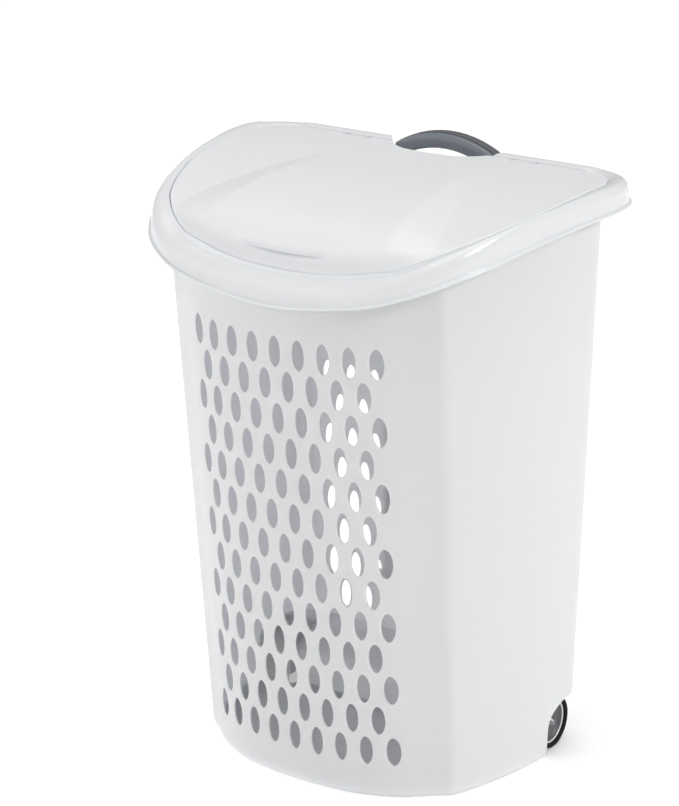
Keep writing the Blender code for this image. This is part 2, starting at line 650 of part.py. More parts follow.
def arch_solid(name, y0, y1, r_in0, r_in1, mat, leg_z, nose=3.0):
    """Arch with straight legs; section is a rounded box between y0, y1 and two radial offsets."""
    c = min(nose, (y1 - y0) / 2.2)
    sec = [(y0, r_in0 + c), (y0 + c * 0.3, r_in0 + c * 0.3), (y0 + c, r_in0), (y1 - c, r_in0), (y1 - c * 0.3, r_in0 + c * 0.3), (y1, r_in0 + c),
           (y1, r_in1 - c), (y1 - c * 0.3, r_in1 - c * 0.3), (y1 - c, r_in1), (y0 + c, r_in1), (y0 + c * 0.3, r_in1 - c * 0.3), (y0, r_in1 - c)]
    paths = [(y, arch_path(min(r, 15.2) if leg_z else r, leg_z is not None)) for y, r in sec]
    m = len(paths[0][1])
    half = []
    for k in range(m):
        half.append([(pth[k][0], y, pth[k][1]) for (y, pth) in paths])
    if leg_z is not None:
        half.append([(x, y, leg_z) for x, y, z in half[-1]])
    left = [[(-x, y, z) for x, y, z in loop] for loop in reversed(half[1:])]
    return ring_solid(name, left + half, mat, False, 40)


frame_ob = arch_solid("handle_frame", LEG_Y0, LEG_Y1, 0.0, LEG_W, DARK_GREY, LEG_BOTTOM)
grip_ob = arch_solid("handle_grip", 147.8, LEG_Y0 - GAP, 1.0, 17.5, GREY, None, 4.2)

# tie bar across the foot of the legs: it stops the handle leaving its guide
stop_bar = box("handle_stop_bar", (-LEG_OUT + 1, LEG_Y0 + 1, LEG_BOTTOM - 12), (LEG_OUT - 1, LEG_Y1 + 6, LEG_BOTTOM - GAP), DARK_GREY)
for s, side in ((-1, "left"), (1, "right")):
    extrude("stop_bar_screw_" + side, circle(s * LEG_X, 164.0, 3.4, 10), 'Z', LEG_BOTTOM - 14.6, LEG_BOTTOM - 12 - GAP, mat=STEEL)

# guide cover on the back wall: a channel open at the top and the bottom, with end lips that guide the legs
def cover_outline(g):
    return [(LEG_OUT + 4.2 - g, 152.6), (LEG_OUT + 4.2 - g, 174.0 - g * 0.4), (LEG_OUT - 9 - g * 0.8, Y_BACK - g),
            (-LEG_OUT + 9 + g * 0.8, Y_BACK - g), (-LEG_OUT - 4.2 + g, 174.0 - g * 0.4), (-LEG_OUT - 4.2 + g, 152.6)]


co, ci = cover_outline(0.0), cover_outline(2.6)
cover = extrude("handle_guide_cover", co + list(reversed(ci)), 'Z', COVER_Z0, COVER_Z1, WHITE, 30)
lip = [(-LEG_OUT - 3, 171.2), (LEG_OUT + 3, 171.2), (LEG_OUT + 3, 173.6), (LEG_OUT - 11, Y_BACK - 1.4), (-LEG_OUT + 11, Y_BACK - 1.4), (-LEG_OUT - 3, 173.6)]
top_lip = extrude("guide_lip", lip, 'Z', COVER_Z1 - 14, COVER_Z1)
boolean(cover, top_lip, 'UNION')
SCREWS = []
for s, side in ((-1, "left"), (1, "right")):
    for z, lev in ((COVER_Z0 + 30, "lower"), (COVER_Z1 - 40, "upper")):
        SCREWS.append((s, side, z, lev))
        tab = extrude("tab_%s_%s" % (side, lev), [(s * (LEG_OUT + 2.4), z - 9), (s * (LEG_OUT + 13), z - 9), (s * (LEG_OUT + 17), z - 4), (s * (LEG_OUT + 17), z + 4), (s * (LEG_OUT + 13), z + 9), (s * (LEG_OUT + 2.4), z + 9)], 'Y', 152.6, 155.4)
        boolean(cover, tab, 'UNION')
        extrude("cover_screw_%s_%s" % (side, lev), circle(s * (LEG_OUT + 10.5), z, 3.6, 10), 'Y', 155.4 + GAP, 157.6, mat=STEEL)

# ------------------------------------------------------------------ wheels and axle
def turned(name, profile, s, mat, n=28, smooth=35):
    """Ring turned about the axle; profile is (x, radius), closed."""
    loops = []
    for k in range(n):
        a = 2 * math.pi * k / n
        loops.append([(s * x, WHEEL_Y + r * math.cos(a), WHEEL_R + r * math.sin(a)) for x, r in profile])
    return ring_solid(name, loops, mat, True, smooth)


for s, side in ((-1, "left"), (1, "right")):
    x0, x1, R = WHEEL_X0, WHEEL_X1, WHEEL_R
    tyre = turned("tyre_" + side, [(x0 + 1.5, 26.0), (x0, 27.5), (x0, 29.6), (x0 + 2.2, R), (x1 - 2.2, R), (x1, 29.6), (x1, 27.4), (x1 - 2.0, 26.0)], s, BLACK, 32)
    hub = turned("wheel_" + side, [(x0 + 3, 3.35), (x0 + 3, 9.0), (x0 + 7, 10.0), (x0 + 7, 21.5), (x0 + 2.2, 22.8), (x0 + 2.2, 25.7),
                                   (x1 - 4.2, 25.7), (x1 - 4.2, 22.8), (x1 - 8.5, 21.0), (x1 - 9.5, 9.5), (x1 - 6.0, 8.0), (x1 - 6.0, 3.35)], s, WHEEL_GREY, 28)
    turned("axle_cap_" + side, [(x1 - 5.6, 3.3), (x1 - 5.6, 7.0), (x1 - 3.6, 7.0), (x1 - 1.4, 5.2), (x1 - 0.6, 2.6), (x1 - 0.6, 0.25), (x1 - 2.2, 0.25), (x1 - 2.2, 3.3)], s, STEEL, 16)
extrude("axle", circle(WHEEL_Y, WHEEL_R, AXLE_R, 16), 'X', -(WHEEL_X1 - 2.6), WHEEL_X1 - 2.6, mat=STEEL, smooth=40)


# ------------------------------------------------------------------ moving pieces turn and slide about their own origins
def origin(ob, x, y, z):
    o = Vector((x, y, z)) * MM
    ob.data.transform(Matrix.Translation(-o))
    ob.location = o


origin(lid, 0.0, HINGE_Y, HINGE_Z)
for ob in list(bpy.data.objects):
    if ob.name.startswith(("handle_frame", "handle_grip", "handle_stop_bar", "stop_bar_screw")):
        origin(ob, 0.0, (LEG_Y0 + LEG_Y1) / 2, LEG_BOTTOM)
    elif ob.name.startswith(("wheel_left", "tyre_left", "wheel_right", "tyre_right")):
        side = -1 if ob.name.endswith("left") else 1
        origin(ob, side * (WHEEL_X0 + WHEEL_X1) / 2, WHEEL_Y, WHEEL_R)
bpy.context.view_layer.update()
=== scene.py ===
import bpy
import bmesh
import math
from mathutils import Vector, Matrix


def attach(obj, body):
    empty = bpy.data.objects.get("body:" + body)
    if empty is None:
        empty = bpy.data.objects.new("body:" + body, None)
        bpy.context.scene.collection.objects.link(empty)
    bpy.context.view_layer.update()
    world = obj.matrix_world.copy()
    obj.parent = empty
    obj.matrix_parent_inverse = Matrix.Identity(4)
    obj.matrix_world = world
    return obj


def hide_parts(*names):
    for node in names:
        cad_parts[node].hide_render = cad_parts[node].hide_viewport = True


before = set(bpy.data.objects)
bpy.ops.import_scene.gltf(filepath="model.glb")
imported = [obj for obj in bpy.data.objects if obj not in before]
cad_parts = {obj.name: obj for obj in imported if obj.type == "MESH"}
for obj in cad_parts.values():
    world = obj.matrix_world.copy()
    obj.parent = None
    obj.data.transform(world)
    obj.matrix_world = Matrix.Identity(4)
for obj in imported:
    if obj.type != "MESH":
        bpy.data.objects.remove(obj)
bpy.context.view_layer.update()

MM = 0.001

# ------------------------------------------------------------------ driving dimensions (mm), the same ones the solids follow
WIDTH = 511.2
HEIGHT = 679.5
Y_BACK = 195.25
WALL = 2.5
FLOOR_TOP = 7.0
BASE_RECESS = 4.0
GAP = 0.3
PANEL_HALF = 133.0
FRONT_Y0, FRONT_LEAN = -138.0, -0.0729
CREASE_X0, CREASE_DX = 165.5, 0.0185
CREASE_Y0, CREASE_DY = -73.2, -0.0855
SIDE_X0, SIDE_DX = 199.5, 0.0409
SIDE_YM = 85.0
SIDE_POWER = 1.85
REAR_Y0, REAR_DY = 150.6, 0.0018
CORNER_R0, CORNER_DR = 40.0, 0.0255
VENT_PITCH, VENT_ROW = 29.3, 37.8
VENT_TOP_Z, VENT_ROWS = 510.4, 13
VENT_W, VENT_H = 14.2, 34.0
REAR_COL0, REAR_COL_STEP = 85.7, 15.475
REAR_VENT_Z0, REAR_VENT_ROW, REAR_VENT_ROWS = 94.2, 39.2, 11
SEAM_GAP = 1.0
LID_T = 2.6
LID_SKIRT = 7.5
HINGE_Y, HINGE_Z = 140.2, 663.2
PIN_R, BORE_R, EYE_R = 0.9, 1.15, 1.8
REAR_SEAM_Y = 147.0
NOTCH_HALF = 63.0
ARCH_R = 130.0
LEG_W, LEG_Y0, LEG_Y1 = 14.0, 158.0, 170.0
LEG_BOTTOM = 352.0
COVER_Z0, COVER_Z1 = 96.0, 628.0
WHEEL_Y, WHEEL_R = 95.3, 31.0
WHEEL_X0, WHEEL_X1 = 174.0, 194.0
AXLE_R = 3.0
KICK = [(69.4, 0.0), (69.4, 33.0), (70.4, 39.5), (72.6, 44.8), (76.8, 49.6), (83.2, 53.6), (91.5, 57.0), (100.9, 59.4), (112.0, 61.2), (176.0, 62.0)]
RIB_IN, RIB_OUT = 145.0, 150.0
PLAY = 36.0
POCKET_X = 195.4
LEG_OUT = (ARCH_R - 16.0) * math.sin(math.radians(30)) + 16.0
LEG_X = LEG_OUT - LEG_W / 2


# ------------------------------------------------------------------ small helpers
def lerp(a, b, t):
    return a + (b - a) * t


def clamp(t, lo=0.0, hi=1.0):
    return min(max(t, lo), hi)


def smoothstep(t):
    t = clamp(t)
    return t * t * (3 - 2 * t)


def table(rows, v):
    n = len(rows)
    if v <= rows[0][0]:
        return rows[0][1]
    if v >= rows[-1][0]:
        return rows[-1][1]
    d = [(rows[i + 1][1] - rows[i][1]) / (rows[i + 1][0] - rows[i][0]) for i in range(n - 1)]
    m = [d[0]] + [0.0 if d[i - 1] * d[i] <= 0 else 2 * d[i - 1] * d[i] / (d[i - 1] + d[i]) for i in range(1, n - 1)] + [d[-1]]
    for i in range(n - 1):
        if v <= rows[i + 1][0]:
            h = rows[i + 1][0] - rows[i][0]
            t = (v - rows[i][0]) / h
            return ((2 * t**3 - 3 * t**2 + 1) * rows[i][1] + (t**3 - 2 * t**2 + t) * h * m[i]
                    + (-2 * t**3 + 3 * t**2) * rows[i + 1][1] + (t**3 - t**2) * h * m[i + 1])


def resample(points, count):
    s = [0.0]
    for a, b in zip(points, points[1:]):
        s.append(s[-1] + math.dist(a, b))
    out, k = [], 0
    for i in range(count):
        v = s[-1] * i / (count - 1)
        while k < len(s) - 2 and s[k + 1] < v:
            k += 1
        t = 0.0 if s[k + 1] == s[k] else (v - s[k]) / (s[k + 1] - s[k])
        out.append(tuple(lerp(p, q, t) for p, q in zip(points[k], points[k + 1])))
    return out


def catmull(points, per=8):
    out = []
    n = len(points)
    for i in range(n - 1):
        p0 = points[max(i - 1, 0)]
        p1, p2 = points[i], points[i + 1]
        p3 = points[min(i + 2, n - 1)]
        for k in range(per):
            t = k / per
            out.append(tuple(0.5 * (2 * b + (c - a) * t + (2 * a - 5 * b + 4 * c - d) * t * t
                                    + (3 * b - a - 3 * c + d) * t**3) for a, b, c, d in zip(p0, p1, p2, p3)))
    out.append(points[-1])
    return out


def mesh_object(name, verts, faces, mat=None, sharp=35, merge=2e-6, orient=True):
    """A mesh piece from millimetre coordinates, in the row frame, shaded smooth up to the sharp angle."""
    me = bpy.data.meshes.new(name)
    me.from_pydata([(x * MM, y * MM, z * MM) for x, y, z in verts], [], faces)
    bm = bmesh.new()
    bm.from_mesh(me)
    if merge:
        bmesh.ops.remove_doubles(bm, verts=bm.verts, dist=merge)
    if orient:
        bmesh.ops.recalc_face_normals(bm, faces=bm.faces)
        if bm.calc_volume(signed=True) < 0:
            bmesh.ops.reverse_faces(bm, faces=bm.faces)
    bm.to_mesh(me)
    bm.free()
    me.shade_smooth()
    if sharp is not None:
        me.set_sharp_from_angle(angle=math.radians(sharp))
    ob = bpy.data.objects.new(name, me)
    bpy.context.scene.collection.objects.link(ob)
    if mat:
        me.materials.append(mat)
    return ob


def ring_solid(name, loops, mat=None, closed=True, sharp=35):
    n = len(loops[0])
    verts = [p for loop in loops for p in loop]
    faces = []
    m = len(loops)
    for a in range(m if closed else m - 1):
        b = (a + 1) % m
        for i in range(n):
            j = (i + 1) % n
            faces.append((a * n + i, a * n + j, b * n + j, b * n + i))
    if not closed:
        faces.append(tuple(range(n - 1, -1, -1)))
        faces.append(tuple((m - 1) * n + i for i in range(n)))
    return mesh_object(name, verts, faces, mat, sharp)


def extrude(name, outline, axis, lo, hi, mat=None, sharp=35):
    def put(p, v):
        a, b = p
        return {'X': (v, a, b), 'Y': (a, v, b), 'Z': (a, b, v)}[axis]
    return ring_solid(name, [[put(p, lo) for p in outline], [put(p, hi) for p in outline]], mat, False, sharp)


def circle(cx, cy, r, n, ph=0.0):
    return [(cx + r * math.cos(2 * math.pi * (i + ph) / n), cy + r * math.sin(2 * math.pi * (i + ph) / n)) for i in range(n)]


def box(name, lo, hi, mat=None):
    return extrude(name, [(lo[0], lo[1]), (hi[0], lo[1]), (hi[0], hi[1]), (lo[0], hi[1])], 'Z', lo[2], hi[2], mat)


def joined(name, obs):
    me = bpy.data.meshes.new(name)
    bm = bmesh.new()
    for ob in obs:
        bm.from_mesh(ob.data)
        bpy.data.objects.remove(ob, do_unlink=True)
    bm.to_mesh(me)
    bm.free()
    ob = bpy.data.objects.new(name, me)
    bpy.context.scene.collection.objects.link(ob)
    return ob


def cut(ob, *steps):
    """Apply (cutter, operation) booleans to the mesh and drop the cutters."""
    for cutter, op in steps:
        md = ob.modifiers.new("cut", 'BOOLEAN')
        md.operation = op
        md.solver = 'EXACT'
        md.object = cutter
    apply(ob)
    for cutter, op in steps:
        if cutter.name in bpy.data.objects:
            bpy.data.objects.remove(cutter, do_unlink=True)
    return ob


def apply(ob):
    bpy.context.view_layer.update()
    dg = bpy.context.evaluated_depsgraph_get()
    me = bpy.data.meshes.new_from_object(ob.evaluated_get(dg), depsgraph=dg)
    mats = [m for m in ob.data.materials]
    ob.modifiers.clear()
    ob.data = me
    me.materials.clear()
    for m in mats:
        me.materials.append(m)
    return ob


def soften(ob, width, angle=40, segments=2, clampit=True):
    """A small rounded edge wherever two faces meet at more than the angle."""
    md = ob.modifiers.new("edge", 'BEVEL')
    md.width = width * MM
    md.segments = segments
    md.limit_method = 'ANGLE'
    md.angle_limit = math.radians(angle)
    md.use_clamp_overlap = clampit
    md.harden_normals = False
    apply(ob)
    ob.data.shade_smooth()
    ob.data.set_sharp_from_angle(angle=math.radians(50))
    return ob


def even_normals(ob):
    md = ob.modifiers.new("normals", 'WEIGHTED_NORMAL')
    md.keep_sharp = True
    md.weight = 80
    return ob


# ------------------------------------------------------------------ materials
def lin(c):
    return c / 12.92 if c <= 0.04045 else ((c + 0.055) / 1.055)**2.4


class Mat:
    """Procedural moulded plastic, rubber or metal: colour drift, fine grain, soft scuffs, roughness drift and bump."""

    def __init__(self, name, color, rough, grain=0.0006, grain_bump=0.06, drift=0.02, scuff=0.0, metal=0.0, coat=0.0, coat_rough=0.1,
                 spec=0.5, rough_var=0.06, stretch=(1, 1, 1), sheen=0.0, waves=0.0, through=0.0):
        m = bpy.data.materials.new(name)
        m.use_nodes = True
        self.m = m
        nt = m.node_tree
        self.nt = nt
        self.b = nt.nodes["Principled BSDF"]
        b = self.b
        b.inputs["Metallic"].default_value = metal
        b.inputs["Specular IOR Level"].default_value = spec
        b.inputs["Coat Weight"].default_value = coat
        b.inputs["Coat Roughness"].default_value = coat_rough
        b.inputs["Sheen Weight"].default_value = sheen
        if through:                 # thin-walled moulding that lets some daylight into the inside
            b.inputs["Subsurface Weight"].default_value = through
            b.inputs["Subsurface Radius"].default_value = (1.0, 1.0, 1.12)
            b.inputs["Subsurface Scale"].default_value = 0.015
        co = nt.nodes.new("ShaderNodeTexCoord").outputs["Object"]
        mp = nt.nodes.new("ShaderNodeMapping")
        mp.inputs["Scale"].default_value = stretch
        nt.links.new(co, mp.inputs["Vector"])
        co = mp.outputs["Vector"]
        self.co = co
        # slow colour drift over decimetres
        n1 = self.noise(7.0, 3, 0.55)
        n2 = self.noise(55.0, 4, 0.6)
        mix = self.math('ADD', self.math('MULTIPLY', n1, 0.7), self.math('MULTIPLY', n2, 0.3))
        ramp = nt.nodes.new("ShaderNodeValToRGB")
        lo = [c * (1 - drift) for c in color]
        hi = [min(1.0, c * (1 + drift * 0.7)) for c in color]
        ramp.color_ramp.elements[0].position = 0.3
        ramp.color_ramp.elements[0].color = (*lo, 1)
        ramp.color_ramp.elements[1].position = 0.7
        ramp.color_ramp.elements[1].color = (*hi, 1)
        nt.links.new(mix, ramp.inputs["Fac"])
        colour = ramp.outputs["Color"]
        # faint handling scuffs: long thin noise, only where a coarse mask allows
        sc = self.noise(38.0, 6, 0.7, distortion=1.4, stretch=(1.0, 1.0, 0.22))
        mask = self.noise(4.2, 2, 0.5)
        sc = self.ramp(sc, 0.56, 0.72)
        mask = self.ramp(mask, 0.48, 0.66)
        scm = self.math('MULTIPLY', sc, mask)
        self.scuffs = scm
        if scuff:
            mx = nt.nodes.new("ShaderNodeMix")
            mx.data_type = 'RGBA'
            mx.inputs["B"].default_value = (*[c * 0.86 for c in color], 1) if sum(color) > 1 else (*[min(1, c * 1.8 + 0.02) for c in color], 1)
            nt.links.new(colour, mx.inputs["A"])
            nt.links.new(self.math('MULTIPLY', scm, scuff), mx.inputs["Factor"])
            colour = mx.outputs["Result"]
        self.colour = colour
        nt.links.new(colour, b.inputs["Base Color"])
        # roughness drift and scuffs
        rv = self.math('MULTIPLY_ADD', n2, rough_var * 2, rough - rough_var)
        rv = self.math('ADD', rv, self.math('MULTIPLY', scm, 0.12 if scuff else 0.04))
        nt.links.new(rv, b.inputs["Roughness"])
        # moulded grain
        g = self.noise(1.0 / grain, 2, 0.5)
        g2 = self.noise(0.22 / grain, 3, 0.6)
        h = self.math('ADD', self.math('MULTIPLY', g, 0.6), self.math('MULTIPLY', g2, 0.4))
        if waves:
            wv = self.noise(9.0, 1, 0.4)
            h = self.math('ADD', h, self.math('MULTIPLY', wv, waves))
        bump = nt.nodes.new("ShaderNodeBump")
        bump.inputs["Strength"].default_value = grain_bump
        bump.inputs["Distance"].default_value = grain * 0.5
        nt.links.new(h, bump.inputs["Height"])
        nt.links.new(bump.outputs["Normal"], b.inputs["Normal"])
        m.diffuse_color = (*color, 1)

    def noise(self, scale, detail, rough, distortion=0.0, stretch=None):
        n = self.nt.nodes.new("ShaderNodeTexNoise")
        n.inputs["Scale"].default_value = scale
        n.inputs["Detail"].default_value = detail
        n.inputs["Roughness"].default_value = rough
        n.inputs["Distortion"].default_value = distortion
        src = self.co
        if stretch:
            mp = self.nt.nodes.new("ShaderNodeMapping")
            mp.inputs["Scale"].default_value = stretch
            self.nt.links.new(src, mp.inputs["Vector"])
            src = mp.outputs["Vector"]
        self.nt.links.new(src, n.inputs["Vector"])
        return n.outputs["Fac"]

    def math(self, op, a, b=None, c=None):
        n = self.nt.nodes.new("ShaderNodeMath")
        n.operation = op
        for i, v in enumerate((a, b, c)):
            if v is None:
                continue
            if isinstance(v, (int, float)):
                n.inputs[i].default_value = v
            else:
                self.nt.links.new(v, n.inputs[i])
        return n.outputs["Value"]

    def ramp(self, v, lo, hi):
        n = self.nt.nodes.new("ShaderNodeMapRange")
        n.interpolation_type = 'SMOOTHSTEP'
        n.inputs["From Min"].default_value = lo
        n.inputs["From Max"].default_value = hi
        self.nt.links.new(v, n.inputs["Value"])
        return n.outputs["Result"]


WHITE = Mat("white_moulded", (0.712, 0.720, 0.738), 0.40, grain=0.0007, grain_bump=0.10, drift=0.012, scuff=0.10, spec=0.45, rough_var=0.05, through=0.70).m
# painted light: the inside of the tub is the same white plastic, given a brighter, lilac-tinted copy of the material
# that paints in the cool light seen inside
WHITE_IN_PAINTED_LIGHT = Mat("white_inside_painted_light", (0.850, 0.845, 0.920), 0.50, grain=0.0009, grain_bump=0.14, drift=0.02, scuff=0.05, spec=0.25, rough_var=0.05, through=0.70).m
WHITE_RIM = Mat("white_rim", (0.680, 0.689, 0.700), 0.24, grain=0.0006, grain_bump=0.04, drift=0.010, scuff=0.0, spec=0.55, rough_var=0.02, coat=0.25, coat_rough=0.16).m
WHITE_LID = Mat("white_lid", (0.765, 0.774, 0.792), 0.34, grain=0.0006, grain_bump=0.08, drift=0.012, scuff=0.08, spec=0.5, rough_var=0.05, through=0.25).m
GREY = Mat("grey_grip", (0.150, 0.165, 0.190), 0.30, grain=0.0005, grain_bump=0.08, drift=0.05, scuff=0.25, spec=0.5, rough_var=0.06, coat=0.12, coat_rough=0.25).m
DARK_GREY = Mat("dark_grey_frame", (0.088, 0.092, 0.100), 0.40, grain=0.0005, grain_bump=0.12, drift=0.06, scuff=0.22, rough_var=0.06).m
WHEEL_GREY = Mat("wheel_grey", (0.100, 0.104, 0.108), 0.45, grain=0.0005, grain_bump=0.12, drift=0.07, scuff=0.25, rough_var=0.07).m
RING_GREY = Mat("wheel_ring", (0.62, 0.63, 0.645), 0.28, grain=0.0005, grain_bump=0.05, drift=0.04, scuff=0.2, rough_var=0.06, coat=0.2).m
RUBBER = Mat("tyre_black", (0.0075, 0.0075, 0.0090), 0.68, grain=0.0007, grain_bump=0.22, drift=0.15, scuff=0.4, spec=0.2, rough_var=0.08).m
DULL_STEEL = Mat("dull_steel", (0.27, 0.275, 0.285), 0.42, grain=0.0004, grain_bump=0.12, drift=0.06, scuff=0.2, metal=1.0, rough_var=0.08).m
STEEL = Mat("zinc_steel", (0.56, 0.57, 0.58), 0.30, grain=0.0004, grain_bump=0.10, drift=0.05, scuff=0.15, metal=1.0, rough_var=0.08, stretch=(0.2, 1, 1)).m


# ------------------------------------------------------------------ body section
def front_y(x, z):
    t = (z - 57.3) / 453.1
    b = lerp(1.1428e-3, 1.0223e-3, t)
    c = lerp(5.64e-8, 4.12e-8, t)
    return FRONT_Y0 + FRONT_LEAN * z + b * x * x + c * x**4


def front_slope(x, z):
    t = (z - 57.3) / 453.1
    b = lerp(1.1428e-3, 1.0223e-3, t)
    c = lerp(5.64e-8, 4.12e-8, t)
    return 2 * b * x + 4 * c * x**3


def rear_frame(z):
    xm = SIDE_X0 + SIDE_DX * z
    r = CORNER_R0 + CORNER_DR * z
    yr = REAR_Y0 + REAR_DY * z
    return xm, r, yr


def rear_y(x, z):
    xm, r, yr = rear_frame(z)
    d = abs(x) - (xm - r)
    return yr if d <= 0 else yr - r + math.sqrt(max(r * r - d * d, 0.0))


def rear_x(v, z):
    return (REAR_COL0 + REAR_COL_STEP * v) * (1 + 0.00028 * (z - 133))


def u_x(u):
    return VENT_PITCH * u * (1 - 0.0016 * u * u)


N_FACET, N_FIL, N_SIDE, N_STR, N_ARC = 5, 7, 22, 2, 12
N_COLS = 3 + N_FACET + N_FIL + N_SIDE + N_STR + N_ARC      # right half, front junction to rear junction


def crease_data(z):
    fx, fy = PANEL_HALF, front_y(PANEL_HALF, z)
    cx, cy = CREASE_X0 + CREASE_DX * z, CREASE_Y0 + CREASE_DY * z
    xm = SIDE_X0 + SIDE_DX * z
    return fx, fy, cx, cy, xm


def facet_pt(t, z):
    fx, fy, cx, cy, xm = crease_data(z)
    n = Vector((cy - fy, -(cx - fx))).normalized()
    bow = 3.2 * t * (1 - t)
    return (lerp(fx, cx, t) - n.x * bow, lerp(fy, cy, t) - n.y * bow)


def side_pt(f, z):
    fx, fy, cx, cy, xm = crease_data(z)
    return (xm - (xm - cx) * (1 - f)**SIDE_POWER, cy + (SIDE_YM - cy) * f)


FIL_A, FIL_B = 0.86, 0.042        # where the crease rounding starts on the facet and ends on the side


def sect(c, z):
    """Outline point of column c (0 = front junction, N_COLS-1 = rear junction) at height z, right half."""
    if c == 0:
        x = u_x(4.5)
        return (x, front_y(x, z))
    if c == 1:
        return (130.5, front_y(130.5, z))
    if c == 2:
        return (PANEL_HALF, front_y(PANEL_HALF, z))
    k = c - 3
    if k < N_FACET:
        return facet_pt(FIL_A * (k + 1) / (N_FACET + 1), z)
    k -= N_FACET
    if k < N_FIL:
        a, b = facet_pt(FIL_A, z), side_pt(FIL_B, z)
        m = facet_pt(1.0, z)
        t = k / (N_FIL - 1)
        return tuple((1 - t)**2 * p + 2 * t * (1 - t) * q + t * t * r for p, q, r in zip(a, m, b))
    k -= N_FIL
    if k < N_SIDE:
        return side_pt(lerp(FIL_B, 1.0, (k + 1) / N_SIDE), z)
    k -= N_SIDE
    xm, r, yr = rear_frame(z)
    if k < N_STR:
        return (xm, lerp(SIDE_YM, yr - r, (k + 1) / (N_STR + 1)))
    k -= N_STR
    x5 = rear_x(5, z)
    a1 = math.acos(clamp((x5 - (xm - r)) / r, -1, 1)) if x5 > xm - r else math.pi / 2
    a = a1 * k / (N_ARC - 1)
    if k == N_ARC - 1:
        return (x5, rear_y(x5, z))
    return (xm - r + r * math.cos(a), yr - r + r * math.sin(a))


def coarse_half(z):
    pts = [(PANEL_HALF * i / 7, front_y(PANEL_HALF * i / 7, z)) for i in range(8)]
    fx, fy, cx, cy, xm = crease_data(z)
    n = Vector((cy - fy, -(cx - fx))).normalized()
    pts.append((lerp(fx, cx, 0.5) - n.x * 0.8, lerp(fy, cy, 0.5) - n.y * 0.8))
    pts.append((cx, cy))
    for i in range(1, 7):
        f = 1 - i / 6
        pts.append((xm - (xm - cx) * f**SIDE_POWER, SIDE_YM + (cy - SIDE_YM) * f))
    xm, r, yr = rear_frame(z)
    for i in range(0, 6):
        a = math.pi / 2 * i / 5
        pts.append((xm - r + r * math.cos(a), yr - r + r * math.sin(a)))
    for x in (84.0, 76.0, 69.0, 63.0, 40.0, 0.0):
        pts.append((x, yr))
    return pts


def full_loop(half):
    return list(half) + [(-p[0],) + tuple(p[1:]) for p in reversed(half[1:-1])]


def inset_loop(loop, d):
    n = len(loop)
    out = []
    for i in range(n):
        a, p, b = Vector(loop[i - 1]), Vector(loop[i]), Vector(loop[(i + 1) % n])
        e1, e2 = (p - a).normalized(), (b - p).normalized()
        n1, n2 = Vector((-e1.y, e1.x)), Vector((-e2.y, e2.x))
        m = (n1 + n2)
        m = m / max(m.length_squared / 2, 1e-9)
        q = p + m * d
        out.append((q.x, q.y))
    return out


# ------------------------------------------------------------------ rim and lid outlines
SEAM_Z = [(-166, 597.0), (-163, 600.0), (-159, 603.5), (-155, 608.0), (-149, 614.0), (-131, 627.5), (-102, 639.5),
          (-74, 646.5), (-26, 655.5), (30, 661.5), (82, 664.6), (120, 665.0), (147, 664.8)]
BEAD_Z = [(-195.3, 563.8), (-193, 570.0), (-184, 580.0), (-172, 589.5), (-162, 594.6), (-152, 599.4), (-140, 603.8),
          (-126, 608.2), (-104, 613.0), (-38, 624.5), (30, 633.5), (56, 636.0), (86, 638.0), (166, 640.0)]
SEAM_PLAN = [(0, -165.5), (22, -165.2), (44, -164.2), (64, -162.4), (83.8, -159.4), (110, -155), (128, -151.5), (137.5, -148.6),
             (152, -141), (166.4, -130.6), (180, -117), (191, -102.3), (204, -76), (213.5, -50), (221, -26.4), (226, 0),
             (229.3, 30), (232, 60), (233, 82), (233, 97)]
BEAD_PLAN = [(0, -195.25), (30, -194.8), (55, -193.7), (80, -191.8), (104, -188.6), (125.7, -184.0), (142.2, -178.6), (156.7, -171.4),
             (170.7, -162.2), (182.1, -152.4), (191.9, -140.2), (201.6, -126.0), (211, -106), (220.5, -77), (229, -42), (238, -6),
             (245.5, 32), (251.5, 62), (255, 86), (255.6, 104)]
BAY_XB = [(0, 0), (28, 36), (43, 55), (52, 66), (57, 74), (61.5, 77), (64, 78.5), (67, 81)]
BAY_DIP = [(0, 1.0), (61.2, 1.0), (62.0, 0.94), (64, 0.5), (66.2, 0.05), (67, 0.0)]


def corner(cx, cy, r, n, a0=0.0, a1=90.0):
    return [(cx + r * math.cos(math.radians(lerp(a0, a1, i / n))), cy + r * math.sin(math.radians(lerp(a0, a1, i / n)))) for i in range(n + 1)]


def notch_y(x):
    return table([(0, 117.5), (30, 119.5), (43, 125.0), (52, 131.5), (58, 138.5), (62, 143.5), (NOTCH_HALF + 4, REAR_SEAM_Y)], abs(x))


def rim_stations(n_side=150, n_rear=24, n_bay=34):
    seam = catmull(SEAM_PLAN, 16) + corner(183, REAR_SEAM_Y - 50, 50, 24)[1:]
    bead = catmull(BEAD_PLAN, 16) + corner(WIDTH / 2 - 60, 166 - 60, 60, 24)[1:]
    s, b = resample(seam, n_side), resample(bead, n_side)
    out = []
    for p, q in zip(s, b):
        out.append((p, q, table(SEAM_Z, p[1]), table(BEAD_Z, q[1]), 0.0))
    for i in range(1, n_rear + 1):
        t = i / n_rear
        p = (lerp(183, 72, t), REAR_SEAM_Y)
        q = (lerp(WIDTH / 2 - 60, 84, t), 166.0)
        out.append((p, q, table(SEAM_Z, p[1]), 640.0, 0.0))
    for i in range(n_bay + 1):
        t = i / n_bay
        xs = 67.0 - 12.0 * t / 0.4 if t < 0.4 else lerp(55.0, 0.0, (t - 0.4) / 0.6)
        dip = table(BAY_DIP, xs)
        out.append(((xs, notch_y(xs)), (table(BAY_XB, xs), 166.0), lerp(664.8, 646.0, dip), lerp(640.0, 636.0, dip), dip))
    return out


def shelf_depth(y, dip):
    return lerp(lerp(8.2, 16.0, clamp((y - 100) / 30)), 5.0, dip)


STATIONS = rim_stations()


